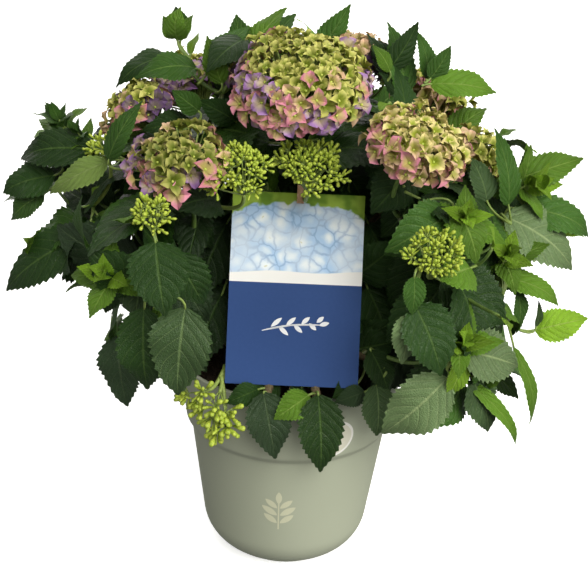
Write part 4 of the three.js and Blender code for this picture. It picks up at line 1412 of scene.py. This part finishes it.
# Distance between florets, head by head.
FLORET_SPACING = (13.2, 12.8, 13.0, 15.2, 14.6, 13.6, 13.6, 13.0, 13.0, 13.0)
LOWEST_FACING = -0.22            # cosine between a head's axis and its lowest florets
FLORET_DEPTH = 10.0              # under the head's outside, before it varies
LEAST_DEPTH = 3.5
PATCH_LEVEL = 0.12               # roughness over which the rim takes its second tone
PETALS = 4                       # of a floret
PETAL_ROWS = 4
CENTRE_SIZE = 7.0                # petal length in the middle of a head
RIM_SIZE = 14.5
EYE_SIZE = 1.5                   # radius of the small bead in a floret's middle
EYE_HEIGHT = 1.6
FLORET_STALK_RADII = (0.9, 0.6)
HEAD_STALK_RADII = (2.6, 2.0)
HUB_DEPTH = 0.75                 # where the floret stalks meet, as a share of the half width
# For each head, the tones of its rim, of patches in the rim and of its middle. The darkened tones
# of heads that lie in shade are painted shade.
HEAD_TONES = (
    ("pink", "lilac", "lime"), ("pink", "blush", "cream"), ("blush", "pink", "lime"),
    ("pink", "lilac", "shaded_lime"), ("pink", "mauve_and_shade", "lime"), ("mauve_and_shade", "lilac", "blush"),
    ("mauve_and_shade", "mauve_and_shade", "lilac"), ("pink", "blush", "lime"), ("lilac", "lilac", "lime"),
    ("pink", "lilac", "lime"),
)
# Colour at a petal's foot and at its edge.
PETAL_TONES = {
    "lime": ((0.18, 0.23, 0.015), (0.57, 0.55, 0.15)),
    "cream": ((0.28, 0.34, 0.020), (0.74, 0.62, 0.27)),
    # lime darkened as painted shade, for the middle of a head that lies in shade
    "shaded_lime": ((0.11, 0.15, 0.010), (0.36, 0.35, 0.09)),
    "blush": ((0.32, 0.31, 0.055), (0.68, 0.46, 0.30)),
    "pink": ((0.42, 0.36, 0.11), (0.58, 0.22, 0.29)),
    "lilac": ((0.50, 0.42, 0.24), (0.34, 0.18, 0.41)),
    # dusty mauve darkened as painted shade, for heads and patches that lie in shade
    "mauve_and_shade": ((0.20, 0.16, 0.13), (0.15, 0.08, 0.19)),
}
PETAL_NAMES = list(PETAL_TONES)


def petal_breadth(t):
    """Half breadth of a petal, at most 1: t^0.8 (1 - t)^1.2, scaled to its peak."""
    peak = 0.8 / 2.0
    return (t + 0.03) ** 0.8 * (1 - t) ** 1.2 / (peak ** 0.8 * (1 - peak) ** 1.2)


def petals(middles, ahead, up, length, breadth, lift, fold, recurve):
    """Petals as points (n, p, 3): the rib rises as lift L sin(pi t / 2) and bends back by
    recurve L t^3, and the sides stand fold |s| w over it."""
    t = np.concatenate([np.repeat(np.linspace(0, 0.84, PETAL_ROWS), 3), [1.0]])
    s = np.concatenate([np.tile([-1.0, 0.0, 1.0], PETAL_ROWS), [0.0]])
    width = petal_breadth(np.minimum(t, 0.999)) * breadth[:, None]
    height = length[:, None] * (lift[:, None] * np.sin(np.pi * t / 2)
                                - recurve[:, None] * t ** 3) + fold[:, None] * np.abs(s) * width
    side = np.cross(up, ahead)
    points = (middles[:, None] + ahead[:, None] * (length[:, None] * t)[..., None]
              + side[:, None] * (width * s)[..., None] + up[:, None] * height[..., None])
    return points, t, s


def petal_faces():
    """Quads between the rows and two triangles to the tip, all facing the petal's upper side."""
    row, column = np.meshgrid(np.arange(PETAL_ROWS - 1), np.arange(2), indexing="ij")
    corner = row * 3 + column
    quads = np.stack([corner, corner + 1, corner + 4, corner + 3], -1).reshape(-1, 4)[:, ::-1]
    last = (PETAL_ROWS - 1) * 3
    return quads, np.array([(last + 3, last + k + 1, last + k) for k in range(2)])


def petal_finish(tone, foot, edge):
    """Petal colour from its own map: the foot's colour gives way to the edge's along the
    petal and towards its margins, with faint veins from foot to tip."""
    shader = Shader(f"petal_{tone}", roughness=0.55, specular_ior_level=0.3)
    tile, local, x, y = tile_sockets(shader)
    across = shader.math("ABSOLUTE", shader.math("SUBTRACT", y, 0.5))
    vary = shader.node("ShaderNodeTexWhiteNoise", 0, Vector=tile)
    reach = shader.math("ADD", x, shader.math("MULTIPLY", across, 0.55))
    reach = shader.math("ADD", reach, shader.math("MULTIPLY", vary, 0.30))
    colour = shader.mix(shader.ramp(reach, 0.42, 1.05), foot, edge)
    veins = shader.noise(shader.stretched(local, (3.0, 26.0, 1.0)), 1.0, 2.0)
    colour = shader.mix(shader.ramp(veins, 0.45, 0.75, 0.0, 0.30), colour,
                        tuple(0.55 * part for part in edge))
    return shader.finish(colour, normal=shader.bump(veins, 0.0003, 0.6))


chance = np.random.default_rng(29)
florets = []                     # middle, way it faces, size, openness, tone
flower_stalks = []
for number, name in enumerate(flower_names):
    axis, across = head_shape(number)
    total = int(4 * np.pi * across ** 2 / FLORET_SPACING[number] ** 2)
    hub = middles[name] - axis * HUB_DEPTH * across
    for way in fibonacci(total):
        facing = way @ axis
        if facing < LOWEST_FACING:
            continue
        hit = trees[name].ray_cast(Vector(middles[name]), Vector(way))
        if hit[0] is None:
            continue
        rim = np.clip((1 - facing) / (1 - LOWEST_FACING), 0, 1)
        inset = FLORET_DEPTH + 5.0 * rough(way, 0.9, 40 + number) + chance.uniform(-4.0, 6.0)
        spot = np.array(hit[0]) - way * max(inset, LEAST_DEPTH)
        spot -= axis * 0.09 * ((spot - middles[name]) @ axis) + (0, 0, HEAD_DROPS[number])
        tilt = unit(way + 0.35 * axis + chance.normal(0, 0.26, 3))
        size = CENTRE_SIZE + (RIM_SIZE - CENTRE_SIZE) * rim ** 0.8 * chance.uniform(0.6, 1.05)
        rim_tone, patch_tone, middle_tone = HEAD_TONES[number]
        # The darker rim tones reach further in on the left and front of each head, its shadow side:
        # partly painted shade.
        shadow_side = 0.22 * (0.2 - way[0] - 0.5 * way[1])
        share = (rim - 0.30) * 1.5 + 0.45 * rough(way, 1.1, 60 + number) + shadow_side
        share += chance.normal(0, 0.10)
        if rough(way, 1.3, 80 + number) > PATCH_LEVEL:
            rim_tone = patch_tone
        tone = rim_tone if share > 0.5 else ("blush" if share > 0.38 else middle_tone)
        florets.append((spot, tilt, size, rim, PETAL_NAMES.index(tone)))
        flower_stalks.append((hub, hub + 0.45 * (spot - hub) + axis * 4, spot))

spot, tilt, size, rim, floret_tone = (np.array([floret[k] for floret in florets])
                                      for k in range(5))
u = unit(np.cross(tilt, np.where(np.abs(tilt[:, 2:]) < 0.9, (0, 0, 1.0), (1.0, 0, 0))))
v = np.cross(tilt, u)
spin = chance.uniform(0, np.pi / 2, len(florets))
turns = (spin[:, None] + np.arange(PETALS) * 2 * np.pi / PETALS
         + chance.normal(0, 0.12, (len(florets), PETALS)))
ahead = (np.cos(turns)[..., None] * u[:, None] + np.sin(turns)[..., None] * v[:, None])
floret_of = np.repeat(np.arange(len(florets)), PETALS)   # the floret that each petal is on
petal_count = len(floret_of)
petal_length = size[floret_of] * chance.uniform(0.85, 1.12, petal_count)
petal_lift = 0.95 - 0.75 * rim[floret_of]
points, t, s = petals(spot[floret_of], ahead.reshape(-1, 3), tilt[floret_of], petal_length,
                      petal_length * chance.uniform(0.33, 0.47, petal_count),
                      petal_lift * chance.uniform(0.6, 1.3, petal_count),
                      chance.uniform(0.5, 1.1, petal_count),
                      chance.uniform(0.05, 0.50, petal_count))
quads, triangles = petal_faces()
places = map_places(chance.integers(0, TILES, (petal_count, 2)), t, s)
for number, tone in enumerate(PETAL_NAMES):
    bloom = blade_piece(f"petals_{tone}", np.flatnonzero(floret_tone[floret_of] == number),
                        points, quads, triangles, places,
                        petal_finish(tone, *PETAL_TONES[tone]), flat=True)
    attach(bloom, "root")
    if tone == "lime":
        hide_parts(*flower_names)

eye_points, eye_faces = lumps(spot + tilt * EYE_HEIGHT, np.full(len(florets), EYE_SIZE), 31, 1.0)
eyes = new_piece("floret_eyes", eye_points * MM, [eye_faces],
                 green_wood_finish("eye_green", (0.55, 0.60, 0.12), (0.34, 0.44, 0.06)))
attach(eyes, "root")

stalk_colour = green_wood_finish("flower_stalk_green", (0.30, 0.38, 0.09), (0.20, 0.28, 0.06))
limb_piece("floret_stalks", flower_stalks, FLORET_STALK_RADII, stalk_colour, sides=4, rings=5)
head_stalks = []
for number, name in enumerate(flower_names):
    axis, across = head_shape(number)
    hub = middles[name] - axis * HUB_DEPTH * across
    start = limb_near(hub - 60 * axis, hub)
    head_stalks.append((start, hub - 35 * axis, hub + 3 * axis))
limb_piece("flower_head_stalks", head_stalks, HEAD_STALK_RADII, shoot_colour, sides=8, rings=12)


# ------------------------------------------------------------------ young flower buds
# Clusters of club-shaped yellow-green buds, each on its own short stalk, on a branched green
# stem. They stand between the leaves, and one hangs over the rim.

RAY_SPACING = 20.0               # between the tufts of a cluster, for buds of size 1
BUDS_PER_RAY = 11
LOWEST_RAY = 0.1                 # cosine between a cluster's way and its outermost tufts
BUD_STEPS = np.array([0.0, 0.45, 0.8, 0.96])      # along a bud, and its radius there
BUD_SHAPE = np.array([0.32, 0.75, 1.0, 0.55])
BUD_STALK_RADII = (0.9, 0.7)
BUD_STEM_RADII = (2.2, 1.9)


def buds(feet, ways, length, radius, seed):
    """Club-shaped buds: five-sided rings at foot + way t length, slightly out of line, that
    widen to the full radius at t = 0.8 and close in a blunt tip."""
    chance = np.random.default_rng(seed)
    paths = feet[:, None] + ways[:, None] * (BUD_STEPS[:, None] * length[:, None, None])
    paths += chance.normal(0, 0.12, paths.shape)
    return tubes(paths, BUD_SHAPE * radius[:, None], 5)


chance = np.random.default_rng(37)
bud_feet, bud_ways, bud_sizes, bud_stalks, cluster_stems = [], [], [], [], []
for middle, way, radius, bud_size in BUD_CLUSTERS:
    middle, way = np.array(middle, float), unit(np.array(way, float))
    hub = middle - way * radius * 1.2
    rays = [d for d in fibonacci(int(25 * radius ** 2 / (bud_size * RAY_SPACING) ** 2))
            if d @ way > LOWEST_RAY]
    for ray in rays:
        high = ray @ way
        part = middle + radius * chance.uniform(0.55, 1.05) * (0.95 * (ray - high * way)
                                                              + (0.62 * high - 0.3) * way)
        bud_stalks.append((hub, hub + 0.5 * (part - hub) - 2 * way, part))
        for direction in fibonacci(BUDS_PER_RAY):
            out = unit(direction + 0.9 * ray + chance.normal(0, 0.15, 3))
            spot = part + out * bud_size * chance.uniform(1.5, 6.0)
            bud_feet.append(spot)
            bud_sizes.append(bud_size)
            bud_ways.append(unit(out + 0.3 * way))
            bud_stalks.append((part, (part + spot) / 2, spot))
    start = limb_near(hub - 30 * way, hub)
    stem_bend = min(0.5 * np.linalg.norm(hub - start), 10.0 if way[2] < 0.3 else 60.0)
    cluster_stems.append((start, hub - way * stem_bend, hub + way))
bud_feet, bud_ways, bud_sizes = (np.array(part) for part in (bud_feet, bud_ways, bud_sizes))
total = len(bud_feet)
points, quads, ends = buds(bud_feet, bud_ways, bud_sizes * chance.uniform(4.5, 9.5, total),
                           bud_sizes * chance.uniform(1.1, 2.1, total), 38)
bud_piece = new_piece("flower_buds", points * MM, [quads, ends],
                      green_wood_finish("bud_green", (0.50, 0.58, 0.075), (0.27, 0.38, 0.030)))
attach(bud_piece, "root")
limb_piece("bud_stalks", bud_stalks, BUD_STALK_RADII, stalk_colour, sides=4, rings=4)
limb_piece("bud_stems", cluster_stems, BUD_STEM_RADII, stalk_colour, sides=7, rings=12)


# ------------------------------------------------------------------ label card and its stick
# A coated board card leans back on a flat wooden stick that is pushed into the compost and
# hooked over the card's upper edge. The lower half is plain navy with a small white sprig, then
# come a white band and a field of pale blue petals, with a green strip along the top.

NAVY_TOP = 0.530                 # share of the card's length up to which it is navy
BAND_TOP = 0.590
BAND_SLOPE = 0.12                # the band's upper edge falls to the left and waves a little
BAND_WAVE = 0.006
GREEN_FROM = 0.875
PETAL_SCALE = 74.0               # printed petals to the metre
CARD_SPRIG_WIDTH = 62.0
CARD_SPRIG_HEIGHT = 0.30         # of its middle, as a share of the card's length
CARD_INK = 0.12                  # thickness of the printed sprig
CARD_FACE = 0.6                  # how far the board's face stands in front of CARD_FOOT


def card_finish():
    """Printed colours by height up the card: a navy field, a white band, cells with pale
    middles and dark gaps for petals, and green over a rough edge along the top."""
    shader = Shader("printed_card", roughness=0.5, specular_ior_level=0.08)
    place = shader.place()
    away = shader.vector_math("SUBTRACT", place, tuple(CARD_FOOT * MM))
    up = shader.vector_math("DOT_PRODUCT", away, tuple(CARD_UP), 1)
    share = shader.math("DIVIDE", up, CARD_LENGTH * MM)
    across = shader.vector_math("DOT_PRODUCT", away, (1.0, 0.0, 0.0), 1)
    sheet = shader.node("ShaderNodeCombineXYZ", 0, _0=across, _1=up)
    drift = shader.node("ShaderNodeTexNoise", 1, Vector=sheet, Scale=55.0, Detail=3.0)
    warped = shader.vector_math("ADD", sheet, shader.vector_math("MULTIPLY", drift,
                                                                 (0.016, 0.016, 0.0)))
    petal, gap = (shader.node("ShaderNodeTexVoronoi", 0, Vector=warped, Scale=PETAL_SCALE,
                              Randomness=0.9) for _ in range(2))
    gap.node.feature = "DISTANCE_TO_EDGE"
    shade = shader.noise(sheet, 26.0, 2.0)
    blue = shader.mix(shader.ramp(petal, 0.10, 0.62), (0.88, 0.95, 0.98), (0.44, 0.63, 0.86))
    blue = shader.mix(shader.ramp(gap, 0.0, 0.10, 0.45, 0.0), blue, (0.12, 0.25, 0.47))
    blue = shader.mix(shader.ramp(shade, 0.38, 0.62, 0.0, 0.55), blue, (0.80, 0.86, 0.90))
    blue = shader.mix(shader.ramp(petal, 0.03, 0.10, 0.7, 0.0), blue, (0.66, 0.66, 0.42))
    ragged = shader.math("MULTIPLY", shader.noise(sheet, 60.0, 2.0), -0.13)
    edge = shader.math("ADD", share, ragged)
    # The green reaches lower towards the card's sides: by the fourth power of the distance.
    aside = shader.math("ABSOLUTE", shader.math("DIVIDE", across, CARD_HALF_WIDTH * MM))
    fall = shader.math("MULTIPLY", shader.math("POWER", aside, 4.0), 0.075)
    green = shader.ramp(shader.math("ADD", edge, fall), GREEN_FROM, GREEN_FROM + 0.015)
    lawn = shader.mix(shader.ramp(shader.noise(sheet, 45.0, 2.0), 0.4, 0.62),
                      (0.38, 0.56, 0.070), (0.16, 0.30, 0.030))
    picture = shader.mix(green, blue, lawn)
    wave = shader.math("SINE", shader.math("MULTIPLY", across, 70.0))
    wave = shader.math("MULTIPLY", wave, BAND_WAVE)
    slope = shader.math("MULTIPLY", across, BAND_SLOPE)
    band_edge = shader.math("ADD", share, shader.math("SUBTRACT", wave, slope))
    printed = shader.mix(shader.ramp(band_edge, BAND_TOP - 0.002, BAND_TOP + 0.002),
                         (0.90, 0.89, 0.86), picture)
    navy = shader.mix(shader.noise(sheet, 300.0), (0.028, 0.066, 0.200), (0.034, 0.076, 0.222))
    printed = shader.mix(shader.ramp(share, NAVY_TOP - 0.001, NAVY_TOP + 0.001), navy, printed)
    return shader.finish(printed)


def stick_finish():
    """Pale thin wood with grain drawn out along Z."""
    shader = Shader("pale_wood", roughness=0.7, specular_ior_level=0.3)
    grain = shader.noise(shader.stretched(shader.place(), (1, 1, 0.06)), 900.0, 4.0, 0.6)
    colour = shader.mix(shader.ramp(grain, 0.3, 0.7), (0.56, 0.30, 0.17), (0.78, 0.50, 0.33))
    return shader.finish(colour, normal=shader.bump(grain, 0.0003, 0.5))


def lying_sprig():
    """A bowed stem with leaves along both sides, 1 unit wide."""
    shapes = [stem_shape([(-0.5, -0.06), (0.42, 0.06)], 0.012, 0.05)]
    for k, side in enumerate((1, -1, 1, -1, 1, -1, 1)):
        x = -0.36 + 0.12 * k
        y = -0.06 + 0.13 * (x + 0.5) + 0.045
        reach = 0.20 - 0.012 * k
        shapes.append(leaf_shape((x, y), (x + reach * 0.85, y + side * reach * 0.75), 0.035))
    return shapes + [leaf_shape((0.40, 0.055), (0.56, 0.10), 0.035)]


def on_card(flat, along):
    """Lays (across, up, lift) in millimetres on the card's face, `along` up from its foot."""
    up = (along + flat[:, 1])[:, None] * CARD_UP
    return CARD_FOOT + flat[:, :1] * (1, 0, 0) + up + (CARD_FACE + flat[:, 2:]) * CARD_OUT


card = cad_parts["label_card"]
card.data.materials.clear()
card.data.materials.append(card_finish())
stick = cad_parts["label_stick"]
stick.data.materials.clear()
stick.data.materials.append(stick_finish())
flat, fans = filled([shape * CARD_SPRIG_WIDTH for shape in lying_sprig()], CARD_INK)
mark = new_piece("card_sprig", on_card(flat, CARD_SPRIG_HEIGHT * CARD_LENGTH) * MM, [fans],
                 ink_finish("white_ink", (0.86, 0.87, 0.88), (0.80, 0.81, 0.83)))
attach(mark, "root")
